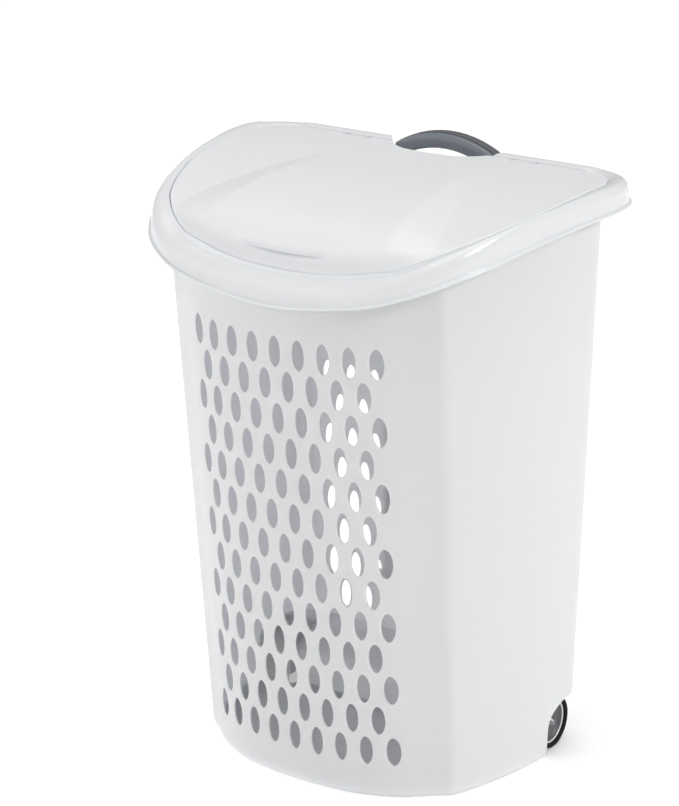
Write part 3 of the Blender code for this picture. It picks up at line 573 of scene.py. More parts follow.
def wall_top(x, y):
    X = Vector((abs(x), y))
    best = None
    for (p0, q0, s0, b0, d0), (p1, q1, s1, b1, d1) in zip(STATIONS, STATIONS[1:]):
        P0, P1 = Vector(p0), Vector(p1)
        e0, e1 = (Vector(q0) - P0).normalized(), (Vector(q1) - P1).normalized()
        c0 = e0.x * (X - P0).y - e0.y * (X - P0).x
        c1 = e1.x * (X - P1).y - e1.y * (X - P1).x
        if c0 >= -1e-6 and c1 <= 1e-6 and c0 - c1 > 1e-9:
            dist = (X - (P0 + P1) / 2).length
            if best is None or dist < best[0]:
                t = c0 / (c0 - c1)
                best = (dist, lerp(s0 - shelf_depth(p0[1], d0), s1 - shelf_depth(p1[1], d1), t))
    z = best[1] if best else STATIONS[-1][2] - shelf_depth(118, 1.0)
    step = 3.0 if y > 100 and 55 < abs(x) < 74 else 0.0
    return z - 2.4 - GAP - 0.9 - step


# ------------------------------------------------------------------ tub skin
ROW_Z0 = VENT_TOP_Z - VENT_ROW * (VENT_ROWS - 1) - VENT_ROW / 2      # lowest row line, front
FRONT_LOW = [0.0, 0.7, 1.8, 3.6, 7.0, 19.0]
REAR_LOW = [0.0, 0.7, 1.8, 3.6, 7.0, 14.0, 22.0, 30.0, 38.0, 46.0, 54.0, 61.0, 67.0, 71.5]
REAR_ROW0 = REAR_VENT_Z0 - REAR_VENT_ROW / 2
N_LEV = len(FRONT_LOW) + 8 * VENT_ROWS + 6
assert N_LEV == len(REAR_LOW) + 8 * REAR_VENT_ROWS + 14


def front_lev(j, top):
    if j < len(FRONT_LOW):
        return FRONT_LOW[j]
    k = j - len(FRONT_LOW)
    if k <= 8 * VENT_ROWS:
        return ROW_Z0 + VENT_ROW * k / 8
    return lerp(ROW_Z0 + VENT_ROW * VENT_ROWS, top, (k - 8 * VENT_ROWS) / 6)


def rear_lev(j, top):
    if j < len(REAR_LOW):
        return REAR_LOW[j]
    k = j - len(REAR_LOW)
    if k <= 8 * REAR_VENT_ROWS:
        return REAR_ROW0 + REAR_VENT_ROW * k / 8
    return lerp(REAR_ROW0 + REAR_VENT_ROW * REAR_VENT_ROWS, top, (k - 8 * REAR_VENT_ROWS) / 14)


def foot(z):
    """How far the bottom edge is rounded in."""
    return 2.6 * clamp(1 - z / 6.5)**2.1


def inner_z(z):
    """Height of the inside skin's point that belongs to an outside point: it stops on the floor."""
    return FLOOR_TOP + z * (14.0 - FLOOR_TOP) / 14.0 if z < 14.0 else z


def floor_round(z):
    return 3.2 * clamp(1 - z / 9.0)**2


class Skin:
    def __init__(self):
        self.v, self.f, self.key, self.tag = [], [], {}, []

    def vert(self, p):
        k = (round(p[0], 4), round(p[1], 4), round(p[2], 4))
        if k not in self.key:
            self.key[k] = len(self.v)
            self.v.append(p)
        return self.key[k]

    def quad(self, *pts, tag=0):
        ids = []
        for p in pts:
            i = self.vert(p)
            if i not in ids:
                ids.append(i)
        if len(ids) > 2:
            self.f.append(tuple(ids))
            self.tag.append(tag)


skin = Skin()


def fpt(x, z, d):
    """Front panel point at depth fraction d of the wall (0 outside, 1 inside)."""
    s = front_slope(x, z)
    w = WALL * math.sqrt(1 + s * s)
    y = front_y(x, z)
    if d <= 0.0:
        return (x, y + foot(z) * math.sqrt(1 + s * s), z)
    return (x, y + w * d + floor_round(z) * (1 if d >= 1.0 else 0), inner_z(z) if d >= 1.0 else z)


def rpt(x, z, d):
    """Rear panel point at depth fraction d."""
    e = 0.01
    s = (rear_y(x + e, z) - rear_y(x - e, z)) / (2 * e)
    w = WALL * math.sqrt(1 + s * s)
    y = rear_y(x, z)
    if d <= 0.0:
        return (x, y - foot(z) * math.sqrt(1 + s * s), z)
    return (x, y - w * d - floor_round(z) * (1 if d >= 1.0 else 0), inner_z(z) if d >= 1.0 else z)


RINGS = [(1.30, 0.0), (0.80, 0.0), (0.40, 0.055), (0.11, 0.17), (0.0, 0.34), (0.0, 0.70), (0.14, 0.88), (0.75, 1.0)]


def vent_cell(pt, xl, xr, xc, zc, zb, zt, xfun=None):
    """One vent and its surround: pt maps (x, z, depth) to a point, xl/xr give the side boundaries at a height."""
    bound = []
    n = 8
    for k in range(n):
        z = lerp(zb, zt, k / n)
        bound.append(('R', z))
    for k in range(n):
        bound.append(('T', 1 - k / n))
    for k in range(n):
        z = lerp(zt, zb, k / n)
        bound.append(('L', z))
    for k in range(n):
        bound.append(('B', k / n))
    outer = []
    for kind, v in bound:
        if kind == 'R':
            outer.append((xr(v), v))
        elif kind == 'L':
            outer.append((xl(v), v))
        elif kind == 'T':
            outer.append((xfun(v, zt), zt))
        else:
            outer.append((xfun(v, zb), zb))
    loops = [[pt(x, z, 0.0) for x, z in outer]]
    m = len(outer)
    for e, d in RINGS:
        ring = []
        for i in range(m):
            # angle: right edge runs -45..45 degrees, top 45..135, and so on
            a = math.radians(-45 + 360.0 * i / m)
            ca, sa = math.cos(a), math.sin(a)
            ring.append(pt(xc + (VENT_W / 2 + e) * ca, zc + (VENT_H / 2 + e) * sa, d))
        loops.append(ring)
    loops.append([pt(x, z, 1.0) for x, z in outer])
    for k, (A, B) in enumerate(zip(loops, loops[1:])):
        for i in range(m):
            j = (i + 1) % m
            skin.quad(A[i], A[j], B[j], B[i], tag=1 if k == len(loops) - 2 else (2 if 1 < k < len(loops) - 2 else 0))


def plain_cell(pt, xs, zs):
    for d in (0.0, 1.0):
        for a in range(len(zs) - 1):
            for b in range(len(xs) - 1):
                p = [pt(xs[b](zs[a]), zs[a], d), pt(xs[b + 1](zs[a]), zs[a], d), pt(xs[b + 1](zs[a + 1]), zs[a + 1], d), pt(xs[b](zs[a + 1]), zs[a + 1], d)]
                skin.quad(*p, tag=1 if d else 0)


# front vent rows
for row in range(VENT_ROWS):
    zc = VENT_TOP_Z - VENT_ROW * row
    lo_k = 8 * (VENT_ROWS - 1 - row)
    zs = [ROW_Z0 + VENT_ROW * (lo_k + k) / 8 for k in range(9)]
    zb, zt = zs[0], zs[-1]
    cols = [i for i in range(-4, 5)] if row % 2 == 0 else [i + 0.5 for i in range(-4, 4)]
    for i in cols:
        vent_cell(fpt, lambda z, i=i: u_x(i - 0.5), lambda z, i=i: u_x(i + 0.5), u_x(i), zc, zb, zt,
                  lambda t, z, i=i: u_x(i - 0.5 + t))
    if row % 2 == 1:
        for a, b in ((-4.5, -4.0), (4.0, 4.5)):
            plain_cell(fpt, [(lambda z, u=a + k / 8: u_x(u)) for k in range(5)], zs)
# plain bands of the front panel, below and above the vents
us = [-4.5 + k / 8 for k in range(73)]
tops = [wall_top(u_x(u), front_y(u_x(u), 570)) for u in us]


def tri_band(j0, j1):
    for j in range(j0, j1):
        for k in range(72):
            x0, x1 = u_x(us[k]), u_x(us[k + 1])
            for d in (0.0, 1.0):
                q = [fpt(x0, front_lev(j, tops[k]), d), fpt(x1, front_lev(j, tops[k + 1]), d),
                     fpt(x1, front_lev(j + 1, tops[k + 1]), d), fpt(x0, front_lev(j + 1, tops[k]), d)]
                skin.quad(*q, tag=1 if d else 0)


J_V0, J_V1 = len(FRONT_LOW), len(FRONT_LOW) + 8 * VENT_ROWS
tri_band(0, J_V0)
tri_band(J_V1, N_LEV)

# rear vent rows on both sides
R_V0, R_V1 = len(REAR_LOW), len(REAR_LOW) + 8 * REAR_VENT_ROWS
for s in (-1, 1):
    for row in range(REAR_VENT_ROWS):
        zc = REAR_VENT_Z0 + REAR_VENT_ROW * row
        zs = [REAR_ROW0 + REAR_VENT_ROW * (8 * row + k) / 8 for k in range(9)]
        cols = (0, 2, 4) if row % 2 == 1 else (1, 3)
        for v in cols:
            xl = (lambda z, v=v: s * rear_x(v - s, z))
            xr = (lambda z, v=v: s * rear_x(v + s, z))
            vent_cell(rpt, xl, xr, s * rear_x(v, zc), zc, zs[0], zs[-1], lambda t, z, v=v: s * rear_x(v - s + 2 * s * t, z))
        if row % 2 == 0:
            for a, b in ((-1, 0), (4, 5)):
                plain_cell(rpt, [(lambda z, v=a + k / 4: s * rear_x(v, z)) for k in range(5)], zs)
    vs = [-1 + k / 4 for k in range(25)]
    for rng in (range(0, R_V0), range(R_V1, N_LEV)):
        for j in rng:
            for k in range(24):
                for d in (0.0, 1.0):
                    q = []
                    for vv, jj in ((vs[k], j), (vs[k + 1], j), (vs[k + 1], j + 1), (vs[k], j + 1)):
                        xt = s * rear_x(vv, 600)
                        z = rear_lev(jj, wall_top(xt, rear_y(xt, 600)))
                        q.append(rpt(s * rear_x(vv, z), z, d))
                    skin.quad(*q, tag=1 if d else 0)
# rear middle
for j in range(N_LEV):
    for k in range(16):
        for d in (0.0, 1.0):
            q = []
            for kk, jj in ((k, j), (k + 1, j), (k + 1, j + 1), (k, j + 1)):
                t = -1 + kk / 8
                xt = t * rear_x(-1, 600)
                z = rear_lev(jj, wall_top(xt, rear_y(xt, 600)))
                q.append(rpt(t * rear_x(-1, z), z, d))
            skin.quad(*q, tag=1 if d else 0)


# corner, side, crease and facet columns on both sides
def col_t(c):
    return smoothstep(c / (N_COLS - 1))


col_top = []
for c in range(N_COLS):
    if c == 0:
        col_top.append(tops[-1])
    elif c == N_COLS - 1:
        xt = rear_x(5, 600)
        col_top.append(wall_top(xt, rear_y(xt, 600)))
    else:
        x, y = sect(c, 600.0)
        col_top.append(wall_top(x, y))


def side_vert(c, j, d):
    top = col_top[c]
    if c == 0:
        z = front_lev(j, top)
        return fpt(u_x(4.5), z, d)
    if c == N_COLS - 1:
        z = rear_lev(j, top)
        return rpt(rear_x(5, z), z, d)
    z = lerp(front_lev(j, top), rear_lev(j, top), col_t(c))
    x, y = sect(c, z)
    x0, y0 = sect(c - 1, z)
    x1, y1 = sect(c + 1, z)
    t = Vector((x1 - x0, y1 - y0)).normalized()
    n = Vector((-t.y, t.x))            # inwards for the right half, which runs front to back
    w = foot(z) if d <= 0 else WALL + floor_round(z)
    return (x + n.x * w, y + n.y * w, z if d <= 0 else inner_z(z))


for d in (0.0, 1.0):
    grid = [[side_vert(c, j, d) for j in range(N_LEV + 1)] for c in range(N_COLS)]
    for s in (1, -1):
        for c in range(N_COLS - 1):
            for j in range(N_LEV):
                q = [grid[c][j], grid[c + 1][j], grid[c + 1][j + 1], grid[c][j + 1]]
                skin.quad(*[(s * x, y, z) for x, y, z in q], tag=1 if d else 0)
    if d == 0.0:
        g0 = grid
    else:
        g1 = grid


def loop_at(j, d):
    """The closed loop of points at level j, counter-clockwise from the front middle."""
    right = []
    for k in range(36, 73):
        right.append(fpt(u_x(us[k]), front_lev(j, tops[k]), d))
    g = g0 if d <= 0 else g1
    for c in range(1, N_COLS - 1):
        right.append(g[c][j])
    for k in range(24, -1, -1):
        vv = -1 + k / 4
        xt = rear_x(vv, 600)
        z = rear_lev(j, wall_top(xt, rear_y(xt, 600)))
        right.append(rpt(rear_x(vv, z), z, d))
    for kk in range(7, -1, -1):
        t = kk / 8
        xt = t * rear_x(-1, 600)
        z = rear_lev(j, wall_top(xt, rear_y(xt, 600)))
        right.append(rpt(t * rear_x(-1, z), z, d))
    left = [(-x, y, z) for x, y, z in reversed(right[1:-1])]
    return right + left


to, ti = loop_at(N_LEV, 0.0), loop_at(N_LEV, 1.0)
for i in range(len(to)):
    j = (i + 1) % len(to)
    skin.quad(to[i], to[j], ti[j], ti[i])
for lo, tag in ((loop_at(0, 0.0), 0), (loop_at(0, 1.0), 1)):
    skin.f.append(tuple(skin.vert(p) for p in lo))
    skin.tag.append(tag)

tub = mesh_object("tub_shell", skin.v, skin.f, WHITE, 30, merge=None)
tub.data.materials.append(WHITE_IN_PAINTED_LIGHT)


# rear kick-up, wheel pockets, bearing ribs, hollow base
def kick_profile(grow, y_end, z_lo):
    path = [KICK[0]] + catmull(KICK[1:9], 4) + [KICK[9]]
    pts = []
    for i, (y, z) in enumerate(path):
        a, b = path[max(i - 1, 0)], path[min(i + 1, len(path) - 1)]
        t = Vector((b[0] - a[0], b[1] - a[1])).normalized()
        pts.append((y - t.y * grow, z + t.x * grow))
    pts[0] = (pts[0][0], z_lo)
    pts[-1] = (y_end, pts[-1][1])
    return pts + [(y_end, z_lo)]


def pocket_profile(r, z_lo, n=24):
    pts = [(WHEEL_Y - r, z_lo), (WHEEL_Y + r, z_lo)]
    for i in range(n + 1):
        a = math.pi * i / n
        pts.append((WHEEL_Y + r * math.cos(a), WHEEL_R + r * math.sin(a)))
    return pts


def body_ring(z, inset):
    right = [(x, front_y(x, z)) for x in (0, 20, 40, 60, 80, 100, 115)] + [sect(c, z) for c in range(0, N_COLS, 2)] + [(84.0, rear_y(84, z)), (40.0, rear_y(40, z)), (0.0, rear_y(0, z))]
    return [(x, y, z) for x, y in inset_loop(full_loop(right), inset)]


hump = extrude("hump", kick_profile(WALL, 175.0, -5.0), 'X', -260.0, 260.0)
hump_pockets = joined("hump_pockets", [extrude("hp", pocket_profile(PLAY + WALL, -6.0), 'X', *(sorted((s * (RIB_OUT - WALL), s * 262.0)))) for s in (-1, 1)])
hump_clip = ring_solid("hump_clip", [body_ring(1.3, 4.8), body_ring(8.0, 1.2), body_ring(200.0, 1.2)], closed=False)
cut(hump, (hump_pockets, 'UNION'), (hump_clip, 'INTERSECT'))
hump.data.materials.clear()
hump.data.materials.append(WHITE)
hump.data.materials.append(WHITE_IN_PAINTED_LIGHT)
for p in hump.data.polygons:
    p.material_index = 1

hollow = extrude("base_hollow", [(x, front_y(x, 0) + 22) for x in (-112, -80, -40, 0, 40, 80, 112)] + [(150, -42), (160, 40), (-160, 40), (-150, -42)], 'Z', -3.0, BASE_RECESS)
kick_mid = extrude("kick_mid", kick_profile(0, 175.0, -5.0), 'X', -RIB_IN, RIB_IN)
kick_sides = joined("kick_sides", [extrude("ks", kick_profile(0, 176.0, -6.0), 'X', *(sorted((s * RIB_OUT, s * 262.0)))) for s in (-1, 1)])
pockets = joined("wheel_pockets", [extrude("wp", pocket_profile(PLAY, -7.0), 'X', *(sorted((s * (RIB_OUT + 0.5), s * POCKET_X)))) for s in (-1, 1)])
axle_holes = joined("axle_holes", [extrude("ah", circle(WHEEL_Y, WHEEL_R, AXLE_R + 0.35, 32), 'X', *(sorted((s * (RIB_IN - 6), s * (RIB_OUT + 6))))) for s in (-1, 1)])
trims = joined("rib_trims", [extrude("rt", [(55, -9), (179, -9), (179, 52.5), (120, 52.5), (108, 17), (55, 17)], 'X', *(sorted((s * (RIB_IN - 2), s * (RIB_OUT + 2))))) for s in (-1, 1)])
cut(kick_mid, (kick_sides, 'UNION'), (pockets, 'UNION'), (trims, 'UNION'), (axle_holes, 'UNION'), (hollow, 'UNION'))

# inner faces take the inside material, whose lilac tint and extra brightness are painted light
for p, t in zip(tub.data.polygons, skin.tag):
    p.material_index = 1 if t == 1 else 0
cut(tub, (hump, 'UNION'), (kick_mid, 'DIFFERENCE'))
tub.data.shade_smooth()
tub.data.set_sharp_from_angle(angle=math.radians(38))

# thin rounded lip along the cut edge of the wheel recess, so that it catches the light
bm = bmesh.new()
bm.from_mesh(tub.data)
bm.edges.ensure_lookup_table()
lip = []
for e in bm.edges:
    if len(e.link_faces) != 2:
        continue
    m = (e.verts[0].co + e.verts[1].co) / 2 / MM
    if abs(m.x) < 150 or m.y < 55 or m.z > 66:
        continue
    n0, n1 = e.link_faces[0].normal, e.link_faces[1].normal
    if n0.angle(n1, 0) > math.radians(55):
        # only where one face is the outside wall
        x, y = abs(m.x), m.y
        xm, r, yr = rear_frame(m.z)
        if y < SIDE_YM:
            f = (y - (CREASE_Y0 + CREASE_DY * m.z)) / (SIDE_YM - (CREASE_Y0 + CREASE_DY * m.z))
            xo = side_pt(clamp(f), m.z)[0]
        elif y < yr - r:
            xo = xm
        else:
            xo = xm - r + math.sqrt(max(r * r - (y - yr + r)**2, 0))
        if abs(x - xo) < 0.35 and m.z > 5:
            lip.append(e)
if lip:
    bmesh.ops.bevel(bm, geom=lip, offset=0.75 * MM, offset_type='OFFSET', segments=2, profile=0.5, affect='EDGES', clamp_overlap=True)
bm.to_mesh(tub.data)
bm.free()
tub.data.shade_smooth()
tub.data.set_sharp_from_angle(angle=math.radians(42))
even_normals(tub)
print("tub", len(tub.data.polygons), "lip edges", len(lip))
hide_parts("hamper_tub")
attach(tub, "tub")


# ------------------------------------------------------------------ rim
def rim_profile(W, H, wall_d, sd, full, valley=0.0):
    k = min(1.0, H / 24.0)
    drop = 9.0 * k
    s0, e, up = lerp(0.32, 0.42, full), lerp(0.88, 0.74, full), lerp(0.9, 1.9, full) * k
    up = lerp(up, 0.5, valley)
    pts = [(0.0, -1.2), (0.05, -0.75), (0.22, -0.35), (0.55, -0.05), (1.1, 0.15 + up * 0.06)]
    for i in range(1, 5):
        t = i / 4
        pts.append((lerp(1.1, s0 * W, t), (0.15 + up * 0.06) + (up - 0.15 - up * 0.06) * math.sin(t * math.pi / 2)))
    hollow = [(0.0, -3.0), (0.8, -2.0), (2.0, -0.95), (4.6, -0.2), (max(s0 * W, 5.0), 0.5)]
    pts = [(w, lerp(h, table(hollow, w), valley)) for w, h in pts]
    a, b = W - 3.1 - s0 * W, H - drop + up
    N = 18
    for i in range(1, N):
        t = math.pi / 2 * i / N
        pts.append((s0 * W + a * math.sin(t)**e, up - b * (1 - math.cos(t)**e)))
    pts.append((W - 3.1, -(H - drop)))
    for dw, dh in ((3.08, 7.4), (3.02, 6.0), (2.92, 5.0), (2.55, 4.25), (1.9, 3.75), (1.0, 3.35), (0.35, 2.95), (0.05, 2.35), (0.0, 1.75), (0.18, 1.0), (0.6, 0.42), (1.2, 0.1), (2.0, 0.0), (4.9, 0.0), (5.5, 0.5)):
        pts.append((W - dw, -(H - dh * k) if dh > 1 else -(H - dh)))
    pts.append((W - 5.9, -(H - drop)))
    for i in range(N - 2, 0, -3):
        t = math.pi / 2 * i / N
        pts.append((s0 * W + (a - 2.8) * math.sin(t)**e, up - 2.8 - (b - 2.8) * (1 - math.cos(t)**e)))
    pts += [(2.6, -2.6), (2.6, -sd)]
    so = min(max(wall_d + 2.2, 6.0), W - 6.4)
    pts += [(so, -sd), (so, -sd - 2.4), (-9.4, -sd - 2.4), (-9.85, -sd - 2.1), (-10.0, -sd - 1.5), (-10.0, -sd - 0.6), (-9.8, -sd - 0.15), (-9.3, -sd), (-0.3, -sd), (0.0, -sd + 0.3), (0.0, -sd + 1.2)]
    return pts


def wall_distance(p, d, z):
    loop = full_loop(coarse_half(z))
    best = None
    n = len(loop)
    for i in range(n):
        a, b = Vector(loop[i]), Vector(loop[(i + 1) % n])
        e = b - a
        den = d.x * e.y - d.y * e.x
        if abs(den) < 1e-9:
            continue
        w = a - p
        t = (w.x * e.y - w.y * e.x) / den
        u = (w.x * d.y - w.y * d.x) / den
        if 0 <= u <= 1 and (best is None or abs(t) < abs(best)):
            best = t
    return best if best is not None else 6.0


loops = []
for p, q, sz, bz, dip in STATIONS:
    P, Q = Vector(p), Vector(q)
    d = (Q - P).normalized()
    W = (Q - P).length
    sd = shelf_depth(p[1], dip)
    wd = wall_distance(P, d, sz - sd)
    full = smoothstep((p[1] + 150) / 90) * (1 - dip)
    valley = smoothstep((p[1] - 118) / 12) * smoothstep((p[0] - 180) / 12)
    loops.append([(P.x + d.x * w, P.y + d.y * w, sz + h) for w, h in rim_profile(W, sz - bz, wd, sd, full, valley)])
mirror = [[(-x, y, z) for x, y, z in loop] for loop in reversed(loops[1:-1])]
rim = ring_solid("rim_shell", loops + mirror, WHITE_RIM, True, 40)

HB = [(92.0, 97.4), (122.6, 128.0)]
stem = [(HINGE_Y - 3.6, 646.6), (HINGE_Y + 3.6, 646.6), (HINGE_Y + 2.2, 657.0)] + [(HINGE_Y + EYE_R * math.cos(math.radians(a)), HINGE_Z + EYE_R * math.sin(math.radians(a))) for a in range(0, 181, 15)] + [(HINGE_Y - 2.2, 657.0)]
br = joined("brackets", [extrude("bracket", stem, 'X', *sorted((s * a, s * b))) for s in (-1, 1) for a, b in HB])
bores = joined("pin_bores", [extrude("pb", circle(HINGE_Y, HINGE_Z, BORE_R, 24), 'X', *sorted((s * 91.0, s * 129.0))) for s in (-1, 1)])


def rounded_rect(x0, y0, x1, y1, r, n=5):
    out = []
    for cx, cy, a0 in ((x1 - r, y0 + r, -90), (x1 - r, y1 - r, 0), (x0 + r, y1 - r, 90), (x0 + r, y0 + r, 180)):
        for i in range(n + 1):
            a = math.radians(a0 + 90 * i / n)
            out.append((cx + r * math.cos(a), cy + r * math.sin(a)))
    return out


slots = joined("leg_slots", [extrude("ls", rounded_rect(s * LEG_X - LEG_W / 2 - 1.2, LEG_Y0 - 1.2, s * LEG_X + LEG_W / 2 + 1.2, 180, 2.2), 'Z', 590, 700) for s in (-1, 1)])
cut(rim, (br, 'UNION'), (bores, 'DIFFERENCE'), (slots, 'DIFFERENCE'))
rim.data.shade_smooth()
rim.data.set_sharp_from_angle(angle=math.radians(40))
even_normals(rim)
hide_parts("rim_collar")
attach(rim, "tub")


# ------------------------------------------------------------------ lid
def bump01(t, r):
    """Ramp 0..1 with rounded ends; r is the share of the ramp that each rounding takes."""
    t = clamp(t, -r, 1 + r)
    if t < r:
        return (t + r)**2 / (4 * r) / 1.0 if r > 0 else t
    if t > 1 - r:
        return 1 - (1 + r - t)**2 / (4 * r)
    return t


def lid_z(x, y, edge):
    z = table(SEAM_Z, max(y, -166))
    xa = abs(x)
    x_in = lerp(112, 88, (y + 122) / 177)
    x_out = lerp(160, 97, (y + 108) / 168)
    if x_out < x_in + 4:
        x_out = x_in + 4
    w = x_out - x_in
    f = 1 - bump01((xa - x_in) / w, min(0.2, 1.3 / w))
    g = clamp((75 - y) / 190.0) * smoothstep((y + 166) / 12.0)
    return z + 10.0 * f * g * smoothstep(edge / 0.06)


half = [p for p, q, sz, bz, dip in STATIONS]
outline = inset_loop(full_loop(half), SEAM_GAP)
LC = (0.0, -12.0)


def at(f, base=None):
    return [(lerp(LC[0], x, f), lerp(LC[1], y, f)) for x, y in (base or outline)]


def edge_round(x, y):
    return 1.0 * ((y - HINGE_Y) / 6.0)**2 if y > HINGE_Y else 0.0


def skirt_drop(x, y):
    inside = smoothstep((NOTCH_HALF + 4 - abs(x)) / 4.0) if y > 100 else 0.0
    return lerp(LID_SKIRT, 13.5, inside)


# grip relief: a shallow scoop with a crisp upper lip near the front edge
GRIP_X, GRIP_Y = 52.0, -157.0


def lid_top(x, y, f):
    return lid_z(x, y, 1 - f) - edge_round(x, y)


fs = [0.02 + 0.98 * (i / 64) for i in range(64)]
fs = [f for f in fs if f < 0.972] + [0.978, 0.984, 0.9885, 0.9925]
loops = []
for f in fs:
    loops.append([(x, y, lid_top(x, y, f)) for x, y in at(f)])
# rolled edge down to the skirt
e10 = outline
for inset, dz in ((1.15, 0.02), (0.72, 0.12), (0.34, 0.36), (0.1, 0.72), (0.0, 1.2)):
    loop2 = inset_loop(e10, inset)
    loops.append([(x, y, lid_z(x, y, 0.004) - edge_round(x, y) - dz) for x, y in loop2])
last_top = loops[-1]
bottom = [(x, y, min(zt - 1.0, table(SEAM_Z, max(y, -166)) - skirt_drop(x, y))) for (x, y, zt) in last_top]
loops.append([(x, y, lerp(zt, zb, 0.5)) for (x, y, zt), (_, _, zb) in zip(last_top, bottom)])
loops.append([(x, y, zb + 0.4) for (x, y, zb) in bottom])
in1 = inset_loop(e10, 0.4)
loops.append([(x, y, z) for (x, y), (_, _, z) in zip(in1, bottom)])
in2 = inset_loop(e10, 1.8)
loops.append([(x, y, z) for (x, y), (_, _, z) in zip(in2, bottom)])
in3 = inset_loop(e10, 2.2)
loops.append([(x, y, z + 0.4) for (x, y), (_, _, z) in zip(in3, bottom)])
in4 = inset_loop(e10, 2.4)
loops.append([(x, y, lid_z(x, y, 0.01) - edge_round(x, y) - LID_T - 0.6) for x, y in in4])
for f in [0.965, 0.93] + [0.9 - 0.05 * i for i in range(18)]:
    loops.append([(x, y, lid_z(x, y, 1 - f) - edge_round(x, y) - LID_T) for x, y in at(f)])
n = len(outline)
verts = [p for loop in loops for p in loop]
faces = []
for a in range(len(loops) - 1):
    for i in range(n):
        j = (i + 1) % n
        faces.append((a * n + i, a * n + j, (a + 1) * n + j, (a + 1) * n + i))
verts.append((LC[0], LC[1], lid_z(*LC, 1.0)))
top_c = len(verts) - 1
verts.append((LC[0], LC[1], lid_z(*LC, 1.0) - LID_T))
bot_c = len(verts) - 1
last = (len(loops) - 1) * n
for i in range(n):
    j = (i + 1) % n
    faces.append((top_c, j, i))
    faces.append((bot_c, last + i, last + j))
lid = mesh_object("lid_shell", verts, faces, WHITE_LID, 40)

skirt_cut = joined("lid_skirt_cut", [box("lp", (min(s * 91.2, s * 128.8), 138.0, 640.0), (max(s * 91.2, s * 128.8), 150.0, 661.4)) for s in (-1, 1)])
bracket_slots = joined("lid_bracket_slots", [box("ls", (min(s * a, s * b), 135.4, 639.0), (max(s * a, s * b), 151.0, 671.0)) for s in (-1, 1) for a, b in ((91.2, 98.2), (121.8, 128.8))])
knuckle = [(HINGE_Y - 6.0, 663.6), (HINGE_Y - 6.0, 662.2), (HINGE_Y - 2.7, 661.4)] + [
    (HINGE_Y + 2.6 * math.cos(math.radians(a)), HINGE_Z + 2.6 * math.sin(math.radians(a))) for a in range(225, 361, 9)] + [(HINGE_Y + 2.6, 663.6)]
knuckles = joined("lid_knuckles", [extrude("lk", knuckle, 'X', *sorted((s * 98.6, s * 121.4))) for s in (-1, 1)])
lid_bore = joined("lid_bore", [extrude("lb", circle(HINGE_Y, HINGE_Z, BORE_R, 24), 'X', *sorted((s * 96.0, s * 124.0))) for s in (-1, 1)])

# finger scoop: a shallow wedge under a crisp upper lip
def scoop(x):
    """(share of full depth, upper lip point) across the scoop."""
    t = x / GRIP_X
    y0 = GRIP_Y + 0.6 * t * t
    return max((1 - t * t)**0.7, 0.012), y0, lid_z(x, y0, 0.05)


sl = []
NS = 44
for i in range(NS + 1):
    x = lerp(-GRIP_X, GRIP_X, i / NS)
    h, y0, z0 = scoop(x)
    yc = y0 - 3.3 * h
    zc = lid_z(x, yc, 0.05)
    sl.append([(x, y0, z0), (x, y0 + 0.73 * 1.75 * h, z0 - 0.68 * 1.75 * h), (x, yc, zc), (x, (y0 + yc) / 2 - 1.4, (z0 + zc) / 2 + 1.3)])
slit = ring_solid("finger_slit", sl, closed=False, sharp=60)
cut(lid, (skirt_cut, 'DIFFERENCE'), (bracket_slots, 'DIFFERENCE'), (knuckles, 'UNION'), (lid_bore, 'DIFFERENCE'), (slit, 'DIFFERENCE'))
lid.data.shade_smooth()
lid.data.set_sharp_from_angle(angle=math.radians(42))
even_normals(lid)
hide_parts("lid")
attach(lid, "lid")

# finger ledge over the scoop: a thin rounded bead along its upper lip
lg = []
for i in range(NS + 1):
    x = lerp(-GRIP_X * 0.985, GRIP_X * 0.985, i / NS)
    h, y0, z0 = scoop(x)
    h = max(h, 0.06)

    def up(dy, dh):
        return (x, y0 + dy, lid_z(x, y0 + dy, 0.05) + dh * h)
    lg.append([up(3.6, -0.02), up(2.0, 0.22), up(0.9, 0.44), (x, y0 - 0.10 * h, z0 + 0.44 * h), (x, y0 - 0.38 * h, z0 + 0.16 * h), (x, y0 - 0.30 * h, z0 - 0.20 * h),
               (x, y0 + 0.15, z0 - 0.42 * h), up(1.6, -0.75), up(3.6, -0.7)])
ledge = ring_solid("lid_finger_ledge", lg, WHITE_LID, False, 60)
even_normals(ledge)
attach(ledge, "lid")

# hinge pins with rounded ends
for s, side in ((-1, "left"), (1, "right")):
    prof = [(0.0, 0.0), (0.0, 0.6), (0.15, 0.82), (0.4, PIN_R), (36.8, PIN_R), (37.05, 0.82), (37.2, 0.6), (37.2, 0.0)]
    lp = [[(s * (91.4 + a), HINGE_Y + max(r, 0.01) * math.cos(2 * math.pi * k / 24), HINGE_Z + max(r, 0.01) * math.sin(2 * math.pi * k / 24)) for k in range(24)] for a, r in prof]
    pin = ring_solid("hinge_pin_fine_" + side, lp, STEEL, False, 50)
    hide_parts("hinge_pin_" + side)
    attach(pin, "tub")


# ------------------------------------------------------------------ pull handle
def arch_path(r_off, bend=True, n=48, nb=14):
    pts = []
    r = ARCH_R - r_off
    zc = HEIGHT - ARCH_R
    a1 = math.radians(30)
    for i in range(n // 2 + 1):
        a = a1 * i / (n // 2)
        pts.append((r * math.sin(a), zc + r * math.cos(a)))
    r2 = 16.0
    c = (ARCH_R - r2) * math.sin(a1), zc + (ARCH_R - r2) * math.cos(a1)
    for i in range(1, nb + 1 if bend else 1):
        a = a1 + (math.pi / 2 - a1) * i / nb
        pts.append((c[0] + (r2 - r_off) * math.sin(a), c[1] + (r2 - r_off) * math.cos(a)))
    return pts


